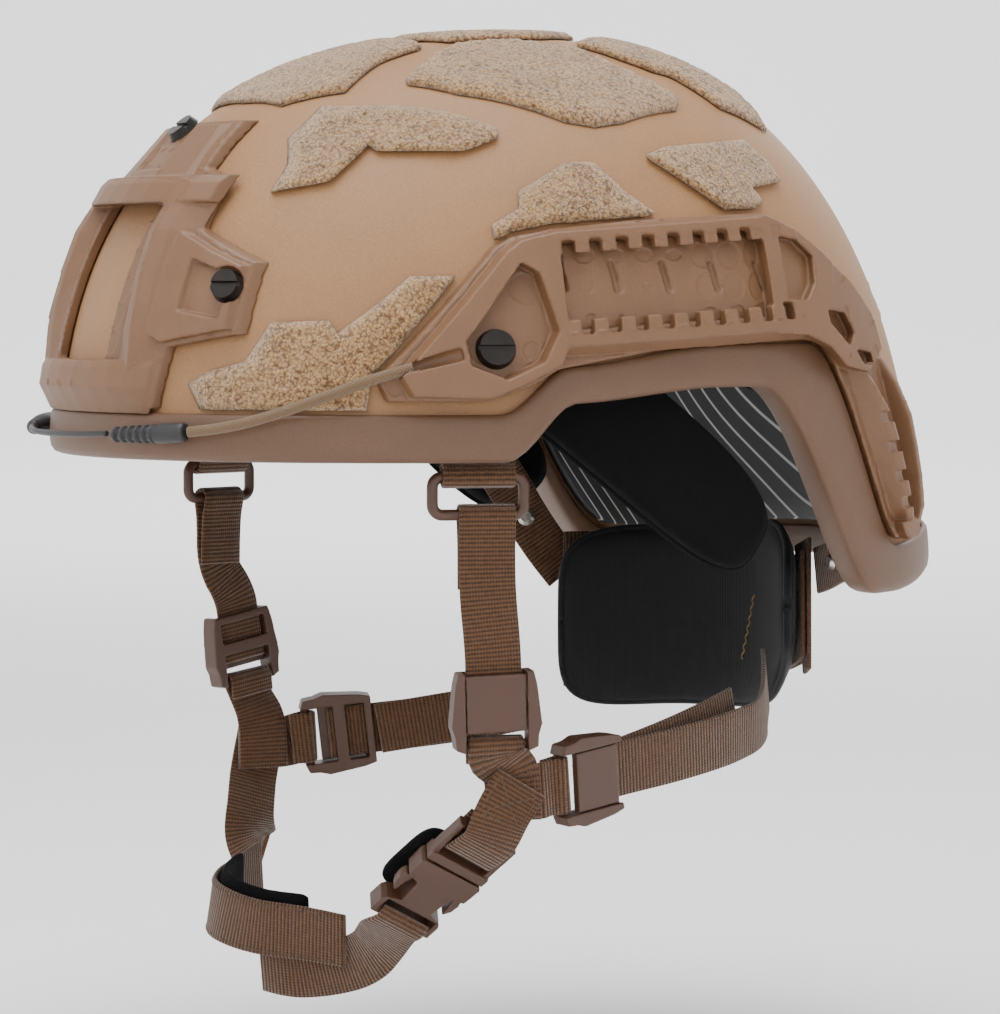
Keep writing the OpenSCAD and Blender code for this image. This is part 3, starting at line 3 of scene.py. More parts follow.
import bmesh
import bpy
import numpy as np
from bpy.props import FloatProperty, FloatVectorProperty, PointerProperty
from bpy.types import Operator, Panel, PropertyGroup
from mathutils import Matrix, Vector


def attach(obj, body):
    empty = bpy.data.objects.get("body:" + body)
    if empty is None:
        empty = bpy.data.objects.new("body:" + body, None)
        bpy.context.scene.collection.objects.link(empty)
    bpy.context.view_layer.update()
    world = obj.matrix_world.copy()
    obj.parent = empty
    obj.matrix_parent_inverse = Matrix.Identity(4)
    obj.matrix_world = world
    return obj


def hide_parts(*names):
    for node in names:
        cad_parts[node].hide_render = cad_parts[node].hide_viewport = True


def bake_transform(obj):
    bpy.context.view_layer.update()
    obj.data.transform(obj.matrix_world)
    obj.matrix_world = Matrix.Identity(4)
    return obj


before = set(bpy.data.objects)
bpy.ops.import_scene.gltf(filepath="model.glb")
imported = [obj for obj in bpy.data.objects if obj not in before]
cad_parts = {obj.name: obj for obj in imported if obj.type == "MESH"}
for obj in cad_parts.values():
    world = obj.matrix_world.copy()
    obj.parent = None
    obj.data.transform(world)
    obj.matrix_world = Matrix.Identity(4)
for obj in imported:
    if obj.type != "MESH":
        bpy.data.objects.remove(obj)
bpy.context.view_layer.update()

bl_info = {
    "name": "Combat helmet",
    "version": (1, 0, 0),
    "blender": (4, 5, 0),
    "location": "View3D > Sidebar > Helmet",
    "description": "Dresses a combat helmet: paint, pile, webbing, moulded rails, pads and stitching",
    "category": "Object",
}

MM = 0.001
BASE_BODY = "helmet"
rng = np.random.RandomState(11)


def linear(hex_value):
    """sRGB hex such as a5826a as linear red, green, blue and alpha."""
    out = []
    for i in (0, 2, 4):
        c = int(hex_value[i:i + 2], 16) / 255
        out.append(c / 12.92 if c <= 0.04045 else ((c + 0.055) / 1.055) ** 2.4)
    return (*out, 1.0)


def length_prop(name, description, value):
    """A length in metres from a value in millimetres."""
    return FloatProperty(name=name, description=description, default=value * MM, unit="LENGTH")


def colour_prop(name, description, hex_value):
    return FloatVectorProperty(name=name, description=description, subtype="COLOR", size=4, min=0, max=1,
                               default=linear(hex_value))


class HelmetSizes(PropertyGroup):
    shell_front: length_prop("Front reach", "Reach of the shell in front of the crown axis", 158)
    shell_rear: length_prop("Rear reach", "Reach of the shell behind the crown axis", 117)
    shell_half_w: length_prop("Half width", "Half width of the shell", 112)
    shell_h: length_prop("Shell height", "Height from the widest line to the crown", 164)
    shell_t: length_prop("Shell thickness", "Thickness of the laminated shell", 8.5)
    crown_shift: length_prop("Crown shift", "How far the crown lies in front of the widest line", 13)
    crown_top: length_prop("Crown top", "Height of the crown over the pad's underside", 27)
    liner_t: length_prop("Liner thickness", "Thickness of the impact liner", 4.6)
    liner_gap: length_prop("Liner gap", "Gap between the shell and the liner", 0.9)
    trim_proud: length_prop("Trim proud", "How far the edge trim stands off the shell", 2.6)
    trim_gap: length_prop("Trim gap", "Gap between the trim and the shell", 0.8)
    pad_t: length_prop("Pad thickness", "Thickness of the brow, back and side pads", 14)
    crown_pad_t: length_prop("Crown pad thickness", "Thickness of the crown pad", 11.9)
    pad_gap: length_prop("Pad gap", "Gap between a pad and the liner", 1.1)
    patch_t: length_prop("Pile height", "Thickness of a loop patch", 2.4)
    seat_gap: length_prop("Adhesive", "Gap under a patch, rail or shroud", 0.4)
    web_w: length_prop("Webbing width", "Width of the harness webbing", 17)
    web_t: length_prop("Webbing thickness", "Thickness of the harness webbing", 1.4)
    hanger_w: length_prop("Hanger width", "Width of the hangers' webbing", 22)
    nape_t: length_prop("Nape pad thickness", "Thickness of the nape pad", 8)
    nape_r: length_prop("Nape radius", "Radius of the nape pad's bend", 56)
    nape_h: length_prop("Nape pad height", "Height of the nape pad", 62)
    bungee_d: length_prop("Bungee diameter", "Diameter of the elastic cord", 3.2)
    loop_d: length_prop("Hook loop diameter", "Diameter of the thin loop", 1.8)
    thread_d: length_prop("Thread diameter", "Diameter of the sewing thread", 0.55)


class HelmetFullness(PropertyGroup):
    side: FloatProperty(name="Side fullness", description="Fullness seen from the side, 2 is an ellipse",
                        default=2.45, min=2.2, max=2.7)
    plan: FloatProperty(name="Plan fullness", description="Fullness seen from above, 2 is an ellipse",
                        default=2.17, min=2, max=2.4)


class HelmetColours(PropertyGroup):
    paint: colour_prop("Paint", "Tan paint of the shell", "8e6742")
    moulded: colour_prop("Rails", "Tan nylon of the rails and the shroud", "6c4b31")
    trim: colour_prop("Trim", "Tan rubber of the edge trim", "5b3f2a")
    pile_light: colour_prop("Pile, light", "Tips of the loop pile", "c9a06c")
    # Painted shade: the pile's dark colour darkens the roots of the loops
    pile_painted_shade: colour_prop("Pile, dark", "Roots of the loop pile", "6c4727")
    web_light: colour_prop("Webbing, light", "Crowns of the webbing's yarns", "63432b")
    # Painted shade: the webbing's dark colour darkens the grooves between its ribs
    web_painted_shade: colour_prop("Webbing, dark", "Grooves of the webbing", "251911")
    hardware: colour_prop("Hardware", "Brown acetal of the buckle and adjusters", "44291a")
    black: colour_prop("Black fabric", "Black knitted cover of the pads", "0b0b0c")
    liner: colour_prop("Liner", "Black coating of the liner", "0d0d0e")
    liner_line: colour_prop("Liner lines", "Pale lines drawn on the liner", "a5a6a8")
    screw: colour_prop("Screws", "Black oxide of the screws", "262220")
    thread_tan: colour_prop("Tan thread", "Thread on the nape pad", "7a5d36")
    thread_brown: colour_prop("Brown thread", "Thread on the webbing", "4a3827")


# Maths of the dome, in millimetres: every piece on or in the shell lies at an offset from one surface

def unit(v):
    v = np.asarray(v, float)
    return v / np.linalg.norm(v, axis=-1, keepdims=True)


def ramp(v, a, b):
    t = np.clip((np.asarray(v, float) - a) / (b - a), 0, 1)
    return t * t * (3 - 2 * t)


def squared(v, power):
    """A sine or cosine raised to a power with its sign kept, which squares up a round outline."""
    return np.sign(v) * np.abs(v) ** power


# Depth of a line under the crown's top, then its steps along Y: rise, start and end of each
RIM_LINE = (129.5, ((17, -64, -42), (4.5, -46, 6), (-64, 18, 64), (5, 74, 112)))
TRIM_TOP_LINE = (115.5, ((14, -66, -44), (6.5, -46, 6), (-62.5, 38, 74), (5, 74, 112)))
# Rounds in which a height on the dome settles, and halvings of the range in which an offset is sought
SETTLE_ROUNDS = 8
HALVINGS = 26
OFFSET_LIMIT = 40.0


class Dome:
    """The helmet's dome and its rim, from the sizes."""

    def __init__(self, scene):
        size = scene.helmet_sizes
        for key in size.bl_rna.properties.keys():
            if key not in ("rna_type", "name"):
                setattr(self, key, getattr(size, key) / MM)
        self.side = scene.helmet_fullness.side
        self.plan = scene.helmet_fullness.plan
        self.base_z = self.crown_top - self.shell_h
        self.liner_out = -(self.shell_t + self.liner_gap)
        self.liner_in = self.liner_out - self.liner_t
        self.pad_out = self.liner_in - self.pad_gap

    def line_z(self, y, top):
        """Height of the rim's line, or of the trim's upper edge, along the helmet."""
        drop, steps = TRIM_TOP_LINE if top else RIM_LINE
        z = self.crown_top - drop
        for rise, start, end in steps:
            z = z + rise * ramp(y, start, end)
        return z

    def belt(self, zz):
        return (1 - np.minimum(1, np.abs(zz)) ** self.side) ** (1 / self.side)

    def level(self, z, off):
        return (z - self.base_z) / (self.shell_h + off)

    def plan_k(self, lon):
        c = np.abs(np.cos(lon)) ** self.plan + np.abs(np.sin(lon)) ** self.plan
        return c ** (-1 / self.plan)

    def reach(self, lon, off):
        return np.where(np.sin(lon) < 0, self.shell_front, self.shell_rear) + off

    def level_pt(self, lon, off, zz):
        k = self.plan_k(lon) * self.belt(zz)
        return np.stack([(self.shell_half_w + off) * np.cos(lon) * k,
                         self.reach(lon, off) * np.sin(lon) * k - self.crown_shift * zz,
                         self.base_z + (self.shell_h + off) * zz], -1)

    def rim_level(self, lon, off, lift, top=False):
        zz = np.full(np.shape(lon), 0.2)
        for _ in range(SETTLE_ROUNDS):
            y = self.reach(lon, off) * np.sin(lon) * self.plan_k(lon) * self.belt(zz) - self.crown_shift * zz
            z = self.line_z(y, top) + lift
            zz = self.level(z, off)
        return zz

    def rim_pt(self, lon, off, lift, top=False):
        return self.level_pt(lon, off, self.rim_level(lon, off, lift, top))

    def side_pt(self, y, z, off):
        zz = self.level(z, off)
        yy = y + self.crown_shift * zz
        a = np.where(yy < 0, self.shell_front, self.shell_rear) + off
        s = np.maximum(0, self.belt(zz) ** self.plan - (np.abs(yy) / a) ** self.plan)
        return np.stack([(self.shell_half_w + off) * s ** (1 / self.plan), y, z], -1)

    def end_pt(self, x, z, off, rear):
        zz = self.level(z, off)
        a = (self.shell_rear + off) if rear else -(self.shell_front + off)
        s = np.maximum(0, self.belt(zz) ** self.plan - (np.abs(x) / (self.shell_half_w + off)) ** self.plan)
        return np.stack([x, a * s ** (1 / self.plan) - self.crown_shift * zz, z], -1)

    def top_pt(self, x, y, off):
        zz = np.ones(np.shape(x))
        for _ in range(SETTLE_ROUNDS):
            yy = y + self.crown_shift * zz
            a = np.where(yy < 0, self.shell_front, self.shell_rear) + off
            r = (np.abs(x) / (self.shell_half_w + off)) ** self.plan + (np.abs(yy) / a) ** self.plan
            zz = (1 - np.minimum(1, r) ** (self.side / self.plan)) ** (1 / self.side)
        return np.stack([x, y, self.base_z + (self.shell_h + off) * zz], -1)

    def view_pt(self, view, a, b, off):
        a, b, off = np.broadcast_arrays(np.asarray(a, float), np.asarray(b, float), np.asarray(off, float))
        if view == "side":
            return self.side_pt(a, b, off)
        if view == "top":
            return self.top_pt(a, b, off)
        return self.end_pt(a, b, off, view == "rear")

    def offsets(self, p):
        """Offset from the dome of each of many points."""
        low = np.full(len(p), -OFFSET_LIMIT)
        high = np.full(len(p), OFFSET_LIMIT)
        for _ in range(HALVINGS):
            mid = (low + high) / 2
            zz = np.abs((p[:, 2] - self.base_z) / (self.shell_h + mid))
            yy = p[:, 1] + self.crown_shift * (p[:, 2] - self.base_z) / (self.shell_h + mid)
            a = np.where(yy < 0, self.shell_front, self.shell_rear) + mid
            plan = (np.abs(p[:, 0]) / (self.shell_half_w + mid)) ** self.plan + (np.abs(yy) / a) ** self.plan
            outside = plan ** (self.side / self.plan) + zz ** self.side > 1
            low = np.where(outside, mid, low)
            high = np.where(outside, high, mid)
        return (low + high) / 2

    def normals(self, p, reach=0.5):
        """Direction in which the offset grows, at each of many points."""
        grad = np.stack([self.offsets(p + reach * e) - self.offsets(p - reach * e) for e in np.eye(3)], -1)
        return unit(grad)


# Making of objects and meshes

def add_piece(name, mesh, material, body=BASE_BODY, nodes=()):
    """Links a mesh as one piece that rides on a body and stands for CAD nodes."""
    obj = bpy.data.objects.new(name, mesh)
    bpy.context.scene.collection.objects.link(obj)
    mesh.materials.clear()
    mesh.materials.append(material)
    if body:
        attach(obj, body)
    if nodes:
        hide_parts(*nodes)
    return obj


def add_part(name, part, material, nodes=(), body=BASE_BODY):
    """Adds a piece from a part: its points and faces, and its UVs if it has them."""
    return add_piece(name, mesh_of(name, *part), materials[material], body, nodes)


def mesh_of(name, points, faces, uv=None):
    """A mesh from points in millimetres, faces and one UV pair in metres per point."""
    mesh = bpy.data.meshes.new(name)
    mesh.from_pydata((np.asarray(points) * MM).tolist(), [], [list(map(int, f)) for f in faces])
    if uv is not None:
        layer = mesh.uv_layers.new(name="weave")
        flat = np.asarray(uv, float)[np.array([loop.vertex_index for loop in mesh.loops])]
        layer.data.foreach_set("uv", flat.ravel().astype(np.float32))
    work = bmesh.new()
    work.from_mesh(mesh)
    bmesh.ops.recalc_face_normals(work, faces=work.faces)
    work.to_mesh(mesh)
    work.free()
    mesh.polygons.foreach_set("use_smooth", [True] * len(mesh.polygons))
    mesh.update()
    return mesh


def merged(parts):
    """One set of points, faces and UVs from several."""
    points, faces, uvs, start = [], [], [], 0
    for part in parts:
        points.append(np.asarray(part[0], float))
        faces += [[i + start for i in f] for f in part[1]]
        uvs.append(np.zeros((len(part[0]), 2)) if part[2] is None else np.asarray(part[2]))
        start += len(part[0])
    return np.concatenate(points), faces, np.concatenate(uvs)


def mirrored_part(part):
    """The same points on the other side of the helmet."""
    points = np.array(part[0], float)
    points[:, 0] *= -1
    return points, part[1], part[2]


def both(part):
    """A part and its mirror image as one."""
    return merged([part, mirrored_part(part)])


def grid_faces(rows, cols):
    """Quads between rows of points, each row closed on itself."""
    faces = []
    for i in range(rows - 1):
        for j in range(cols):
            k = (j + 1) % cols
            faces.append([i * cols + j, i * cols + k, (i + 1) * cols + k, (i + 1) * cols + j])
    return faces


def looped_faces(rows, cols):
    """The same with the last row joined to the first."""
    return [[v % (rows * cols) for v in face] for face in grid_faces(rows + 1, cols)]


def poled_faces(rows, cols):
    """The same with both ends closed to poles, whose two points follow those of the rows."""
    pole = rows * cols
    last = pole - cols
    faces = grid_faces(rows, cols)
    for j in range(cols):
        k = (j + 1) % cols
        faces += [[pole, k, j], [pole + 1, last + j, last + k]]
    return faces


def tube_part(rings, uv=None):
    """A closed solid through rings of points."""
    rings = np.asarray(rings, float)
    rows, cols = rings.shape[:2]
    last = (rows - 1) * cols
    faces = grid_faces(rows, cols) + [list(range(cols))[::-1], list(range(last, last + cols))]
    return rings.reshape(-1, 3), faces, uv


def rounded(points, times=2):
    """Chaikin corner cutting of a path whose points may hold a direction too, ends kept."""
    path = np.asarray(points, float)
    for _ in range(times):
        a, b = path[:-1], path[1:]
        inner = np.stack([0.75 * a + 0.25 * b, 0.25 * a + 0.75 * b], 1).reshape(-1, path.shape[1])
        path = np.concatenate([path[:1], inner[1:-1], path[-1:]])
    return path


def resampled(path, step):
    """The same path with points a steady step apart."""
    gap = np.linalg.norm(np.diff(path[:, :3], axis=0), axis=1)
    run = np.concatenate([[0], np.cumsum(gap)])
    count = max(3, int(round(run[-1] / step)) + 1)
    at = np.linspace(0, run[-1], count)
    return np.stack([np.interp(at, run, path[:, k]) for k in range(path.shape[1])], 1), at


class Strip:
    """Flat webbing along a path: centre, width direction and thickness direction at every step."""

    def __init__(self, path, width, thick, wave, step=1.5):
        rows = np.array([[*c, *unit(w)] for c, w in path], float)
        rows, self.run = resampled(rounded(rows), step)
        self.width, self.thick = width, thick
        centre = rows[:, :3]
        way = unit(np.gradient(centre, axis=0))
        across = rows[:, 3:]
        across = unit(across - np.sum(across * way, 1, keepdims=True) * way)
        self.up = np.cross(way, across)
        self.across = across
        phase = rng.uniform(0, 6, 2)
        ease = np.minimum(1, np.minimum(self.run, self.run[-1] - self.run) / 8)
        shift = wave * ease * (np.sin(self.run / 11 + phase[0]) + 0.6 * np.sin(self.run / 5.3 + phase[1]))
        self.centre = centre + shift[:, None] * self.up

    def part(self):
        w, t = self.width / 2, self.thick / 2
        half = [(-w + 0.5, -t), (-w / 2, -t), (0, -t), (w / 2, -t), (w - 0.5, -t), (w - 0.1, -0.6 * t),
                (w, 0), (w - 0.1, 0.6 * t)]
        profile = half + [(-a, -b) for a, b in half]
        rings = np.stack([self.centre + a * self.across + b * self.up for a, b in profile], 1)
        uv = np.array([[s * MM, a * MM] for s in self.run for a, _ in profile])
        return tube_part(rings, uv)

    def at(self, s, v, side):
        """A point on one face of the webbing: distance along, place across, and side 1 or -1."""
        i = np.interp(s, self.run, np.arange(len(self.run)))
        k = int(min(len(self.run) - 2, max(0, math.floor(i))))
        f = i - k
        centre = self.centre[k] * (1 - f) + self.centre[k + 1] * f
        return centre + v * self.across[k] + side * self.up[k] * (self.thick / 2 + 0.05)

    def outer_side(self, s, middle):
        """Which face looks away from a middle point there."""
        k = int(np.argmin(np.abs(self.run - s)))
        return 1 if np.dot(self.up[k], self.centre[k] - np.asarray(middle)) > 0 else -1


def cord_part(points, diameter, sides, step):
    """Round cord along points, with UVs along and round it."""
    path, run = resampled(rounded(np.asarray(points, float), 3), step)
    way = unit(np.gradient(path, axis=0))
    u = unit(np.cross(way, [0.0, 0.0, 1.0]))
    v = np.cross(u, way)
    angle = np.arange(sides) * 2 * math.pi / sides
    rings = path[:, None] + diameter / 2 * (np.cos(angle)[None, :, None] * u[:, None]
                                            + np.sin(angle)[None, :, None] * v[:, None])
    uv = np.array([[s * MM, diameter / 2 * a * MM] for s in run for a in angle])
    return tube_part(rings, uv)


def stitch_part(a, b, diameter):
    """One stitch: a short thread that dips into the cloth at both ends."""
    a, b = np.asarray(a, float), np.asarray(b, float)
    way = unit(b - a)
    side = unit(np.cross(way, [0.31, 0.52, 0.8]))
    top = np.cross(way, side)
    rings = []
    for t, r in ((0.0, 0.25), (0.12, 0.8), (0.5, 1.0), (0.88, 0.8), (1.0, 0.25)):
        c = a + (b - a) * t
        angle = np.arange(6) * math.pi / 3
        rings.append([c + diameter / 2 * r * (math.cos(q) * side + math.sin(q) * top) for q in angle])
    return tube_part(rings)


def stitches_along(points, pitch, length, diameter):
    """Running stitches along a line of points."""
    path, run = resampled(np.asarray(points, float), 0.4)
    parts = []
    s = 0.3
    while s + length < run[-1]:
        a = [np.interp(s, run, path[:, k]) for k in range(3)]
        b = [np.interp(s + length, run, path[:, k]) for k in range(3)]
        parts.append(stitch_part(a, b, diameter))
        s += pitch
    return parts


# How near a smoothed point has to be to a flat level to go back onto it, and how squarely it has to face
SNAP_REACH = 0.3
SNAP_FACING = 0.95


def moulded(cad_node, material, slot, voxel, soften, body=BASE_BODY, dome=None, levels=()):
    """A moulded piece with rounded edges from its CAD node, kept flat at some heights over the dome."""
    name = cad_node + "_moulded"
    temp = bpy.data.objects.new(name + "_temp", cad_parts[cad_node].data.copy())
    bpy.context.scene.collection.objects.link(temp)
    for kind, settings in (("REMESH", {"mode": "VOXEL", "voxel_size": voxel * MM, "use_smooth_shade": True}),
                           ("SMOOTH", {"factor": 0.5, "iterations": soften})):
        modifier = temp.modifiers.new(kind, kind)
        for key, value in settings.items():
            setattr(modifier, key, value)
    mesh = bpy.data.meshes.new_from_object(temp.evaluated_get(bpy.context.evaluated_depsgraph_get()))
    bpy.data.objects.remove(temp)
    mesh.name = name
    if levels:
        count = len(mesh.vertices) * 3
        place, facing = np.empty(count), np.empty(count)
        mesh.vertices.foreach_get("co", place)
        mesh.vertex_normals.foreach_get("vector", facing)
        p, facing = place.reshape(-1, 3) / MM, facing.reshape(-1, 3)
        off = dome.offsets(p)
        for level in levels:
            near = np.flatnonzero(np.abs(off - level) < SNAP_REACH)
            if len(near):
                normal = dome.normals(p[near])
                flat = np.sum(normal * facing[near], 1) > SNAP_FACING
                p[near[flat]] += normal[flat] * (level - off[near[flat]])[:, None]
        mesh.vertices.foreach_set("co", (p * MM).ravel())
        mesh.update()
    mesh.polygons.foreach_set("use_smooth", [True] * len(mesh.polygons))
    return add_piece(name, mesh, materials[material], body, [cad_node])


# Materials: each is built from Blender's own nodes

def node(tree, kind, settings=None, links=None):
    """Adds a node, gives its inputs and properties their values and links its inputs from other sockets."""
    made = tree.nodes.new(kind)
    for key, value in (settings or {}).items():
        if isinstance(key, int) or key in made.inputs.keys():
            made.inputs[key].default_value = value
        else:
            setattr(made, key, value)
    for key, socket in (links or {}).items():
        tree.links.new(socket, made.inputs[key])
    return made


def start_material(name, roughness, **values):
    """A material with its shader's own sockets set: returns it, its tree and its shader."""
    mat = bpy.data.materials.new(name)
    mat.use_nodes = True
    tree = mat.node_tree
    shader = tree.nodes["Principled BSDF"]
    shader.inputs["Roughness"].default_value = roughness
    for key, value in values.items():
        shader.inputs[key.replace("_", " ")].default_value = value
    return mat, tree, shader


def per_mm(size):
    """Texture scale for a grain of this size in millimetres, on coordinates in metres."""
    return 1 / (size * MM)


def two_tone(tree, factor, dark, light, low=0.35, high=0.65):
    """Mixes two colours by a value between two limits."""
    step = node(tree, "ShaderNodeMapRange", {"From Min": low, "From Max": high}, {"Value": factor})
    mix = node(tree, "ShaderNodeMix", {"data_type": "RGBA", 6: dark, 7: light}, {"Factor": step.outputs[0]})
    return mix.outputs[2]


def shade(colour, share):
    """The same colour, darker or lighter."""
    return (*[min(1.0, c * share) for c in colour[:3]], 1.0)


def finished(made, colour, height, strength, depth):
    """Gives a started material its colour and a bump with a depth in millimetres."""
    mat, tree, shader = made
    bump = node(tree, "ShaderNodeBump", {"Strength": strength, "Distance": depth * MM}, {"Height": height})
    tree.links.new(colour, shader.inputs["Base Color"])
    tree.links.new(bump.outputs[0], shader.inputs["Normal"])
    return mat


def grained(name, colour, roughness, grain, depth, spread, blotch, **values):
    """Paint or moulding: one colour with a fine grain, a slow change of tone and uneven gloss."""
    made = start_material(name, roughness, **values)
    _, tree, shader = made
    place = node(tree, "ShaderNodeTexCoord").outputs["Object"]
    fine = node(tree, "ShaderNodeTexNoise", {"Scale": per_mm(grain), "Detail": 3.0, "Roughness": 0.6},
                {"Vector": place}).outputs["Fac"]
    slow = node(tree, "ShaderNodeTexNoise", {"Scale": per_mm(blotch), "Detail": 4.0},
                {"Vector": place}).outputs["Fac"]
    tone = two_tone(tree, slow, shade(colour, 1 - spread), shade(colour, 1 + spread))
    speck = two_tone(tree, fine, shade(colour, 0.74), shade(colour, 1.2), 0.3, 0.7)
    mix = node(tree, "ShaderNodeMix", {"data_type": "RGBA", "Factor": 0.4}, {6: tone, 7: speck})
    gloss = node(tree, "ShaderNodeMapRange", {"To Min": roughness - 0.08, "To Max": roughness + 0.08},
                 {"Value": slow})
    tree.links.new(gloss.outputs[0], shader.inputs["Roughness"])
    return finished(made, mix.outputs[2], fine, 0.5, depth)


def wave(tree, value, pitch):
    """A smooth wave from 0 to 1 of this pitch in millimetres along a coordinate in metres."""
    turn = node(tree, "ShaderNodeMath", {"operation": "MULTIPLY", 1: 2 * math.pi * per_mm(pitch)}, {0: value})
    sine = node(tree, "ShaderNodeMath", {"operation": "SINE"}, {0: turn.outputs[0]})
    raised = node(tree, "ShaderNodeMath", {"operation": "MULTIPLY_ADD", 1: 0.5, 2: 0.5}, {0: sine.outputs[0]})
    return raised.outputs[0]


def run_and_width(tree):
    """The distances along and across a woven piece, from its UV map in metres."""
    uv = node(tree, "ShaderNodeUVMap", {"uv_map": "weave"})
    split = node(tree, "ShaderNodeSeparateXYZ", {}, {0: uv.outputs[0]})
    return split.outputs[0], split.outputs[1]


def woven(name, dark, light, rib, yarn, depth):
    """Woven narrow goods: ribs across, finer yarns along, with painted shade darkening the grooves."""
    made = start_material(name, 0.82, Sheen_Weight=0.25, Sheen_Roughness=0.45, Specular_IOR_Level=0.25)
    tree = made[1]
    run, width = run_and_width(tree)
    noise = node(tree, "ShaderNodeTexNoise", {"Scale": per_mm(1.1), "Detail": 3.0},
                 {"Vector": node(tree, "ShaderNodeTexCoord").outputs["Object"]})
    yarns = node(tree, "ShaderNodeMath", {"operation": "MULTIPLY_ADD", 1: 0.3},
                 {0: wave(tree, width, yarn), 2: wave(tree, run, rib)})
    height = node(tree, "ShaderNodeMath", {"operation": "MULTIPLY_ADD", 1: 0.9},
                  {0: noise.outputs["Fac"], 2: yarns.outputs[0]}).outputs[0]
    # Painted shade: the colour follows the weave's height, dark in the grooves and light on the yarns' crowns
    return finished(made, two_tone(tree, height, dark, light, 0.3, 1.7), height, 0.8, depth)


def loop_pile(name, dark, light):
    """Nylon loop pile: small tangled loops, pale at their tips with painted shade at their roots, that
    scatter light at the edges.
    """
    made = start_material(name, 0.92, Sheen_Weight=0.6, Sheen_Roughness=0.4, Specular_IOR_Level=0.12)
    tree = made[1]
    place = node(tree, "ShaderNodeTexCoord").outputs["Object"]
    bend = node(tree, "ShaderNodeTexNoise", {"Scale": per_mm(2.2), "Detail": 2.0}, {"Vector": place})
    near = node(tree, "ShaderNodeVectorMath", {"operation": "MULTIPLY_ADD", 1: (0.0016, 0.0016, 0.0016)},
                {0: bend.outputs["Color"], 2: place})
    cell = node(tree, "ShaderNodeTexVoronoi", {"Scale": per_mm(0.95)}, {"Vector": near.outputs[0]})
    fine = node(tree, "ShaderNodeTexNoise", {"Scale": per_mm(0.55), "Detail": 4.0, "Roughness": 0.75},
                {"Vector": near.outputs[0]})
    height = node(tree, "ShaderNodeMath", {"operation": "MULTIPLY_ADD", 1: -0.75},
                  {0: cell.outputs["Distance"], 2: fine.outputs["Fac"]}).outputs[0]
    slow = node(tree, "ShaderNodeTexNoise", {"Scale": per_mm(9), "Detail": 3.0}, {"Vector": place})
    tone = node(tree, "ShaderNodeMath", {"operation": "MULTIPLY_ADD", 1: 0.35},
                {0: slow.outputs["Fac"], 2: height})
    # Painted shade: the colour follows the pile's height, dark at the loops' roots, with a slow random change
    # of tone on top
    return finished(made, two_tone(tree, tone.outputs[0], dark, light, 0.02, 0.52), height, 1.0, 0.9)


def knitted(name, colour, rib):
    """Warp-knitted cover: very fine black ribs with a soft gloss, painted shade in their grooves and painted
    highlight on their crowns.
    """
    made = start_material(name, 0.62, Sheen_Weight=0.1, Sheen_Roughness=0.5, Specular_IOR_Level=0.2)
    tree = made[1]
    run, width = run_and_width(tree)
    height = node(tree, "ShaderNodeMath", {"operation": "MULTIPLY_ADD", 1: 0.5},
                  {0: wave(tree, width, rib * 0.7), 2: wave(tree, run, rib)}).outputs[0]
    # Painted shade and highlight: the colour goes darker in the rib grooves and lighter on the ribs' crowns
    tone = two_tone(tree, height, shade(colour, 0.7), shade(colour, 1.6), 0.2, 1.5)
    return finished(made, tone, height, 0.4, 0.2)


def fleece(name, colour):
    """Brushed cover: matt black nap with a faint dusty edge and no ribs."""
    made = start_material(name, 0.95, Sheen_Weight=0.02, Sheen_Roughness=0.6, Specular_IOR_Level=0.06)
    tree = made[1]
    fine = node(tree, "ShaderNodeTexNoise", {"Scale": per_mm(0.5), "Detail": 4.0, "Roughness": 0.8},
                {"Vector": node(tree, "ShaderNodeTexCoord").outputs["Object"]}).outputs["Fac"]
    tone = two_tone(tree, fine, shade(colour, 0.6), shade(colour, 1.9), 0.3, 0.75)
    return finished(made, tone, fine, 0.8, 0.35)


def lined_liner(name, colour, line):
    """Coated foam: satin black with thin pale lines that run down and curve a little."""
    made = start_material(name, 0.55)
    tree = made[1]
    place = node(tree, "ShaderNodeTexCoord").outputs["Object"]
    slow = node(tree, "ShaderNodeTexNoise", {"Scale": per_mm(60), "Detail": 0.0}, {"Vector": place})
    split = node(tree, "ShaderNodeSeparateXYZ", {}, {0: place})
    bent = node(tree, "ShaderNodeMath", {"operation": "MULTIPLY_ADD", 1: 0.008},
                {0: slow.outputs["Fac"], 2: split.outputs[1]})
    lean = node(tree, "ShaderNodeMath", {"operation": "MULTIPLY_ADD", 1: 0.5},
                {0: split.outputs[2], 2: bent.outputs[0]})
    thin = node(tree, "ShaderNodeMapRange", {"From Min": 0.93, "From Max": 0.98},
                {"Value": wave(tree, lean.outputs[0], 2.9)})
    mix = node(tree, "ShaderNodeMix", {"data_type": "RGBA", 6: colour, 7: line}, {"Factor": thin.outputs[0]})
    fine = node(tree, "ShaderNodeTexNoise", {"Scale": per_mm(0.9), "Detail": 2.0}, {"Vector": place})
    return finished(made, mix.outputs[2], fine.outputs["Fac"], 0.3, 0.2)


def braided(name, dark, light, diameter):
    """Braided sheath: crossing yarns that make small diamonds round the cord."""
    made = start_material(name, 0.75, Sheen_Weight=0.2)
    tree = made[1]
    run, width = run_and_width(tree)
    pitch = math.pi * diameter / 12
    yarns = []
    for way in ("ADD", "SUBTRACT"):
        slant = node(tree, "ShaderNodeMath", {"operation": way}, {0: run, 1: width})
        yarns.append(wave(tree, slant.outputs[0], pitch))
    height = node(tree, "ShaderNodeMath", {"operation": "MAXIMUM"}, {0: yarns[0], 1: yarns[1]}).outputs[0]
    return finished(made, two_tone(tree, height, dark, light, 0.3, 0.95), height, 0.9, 0.35)


materials = {}


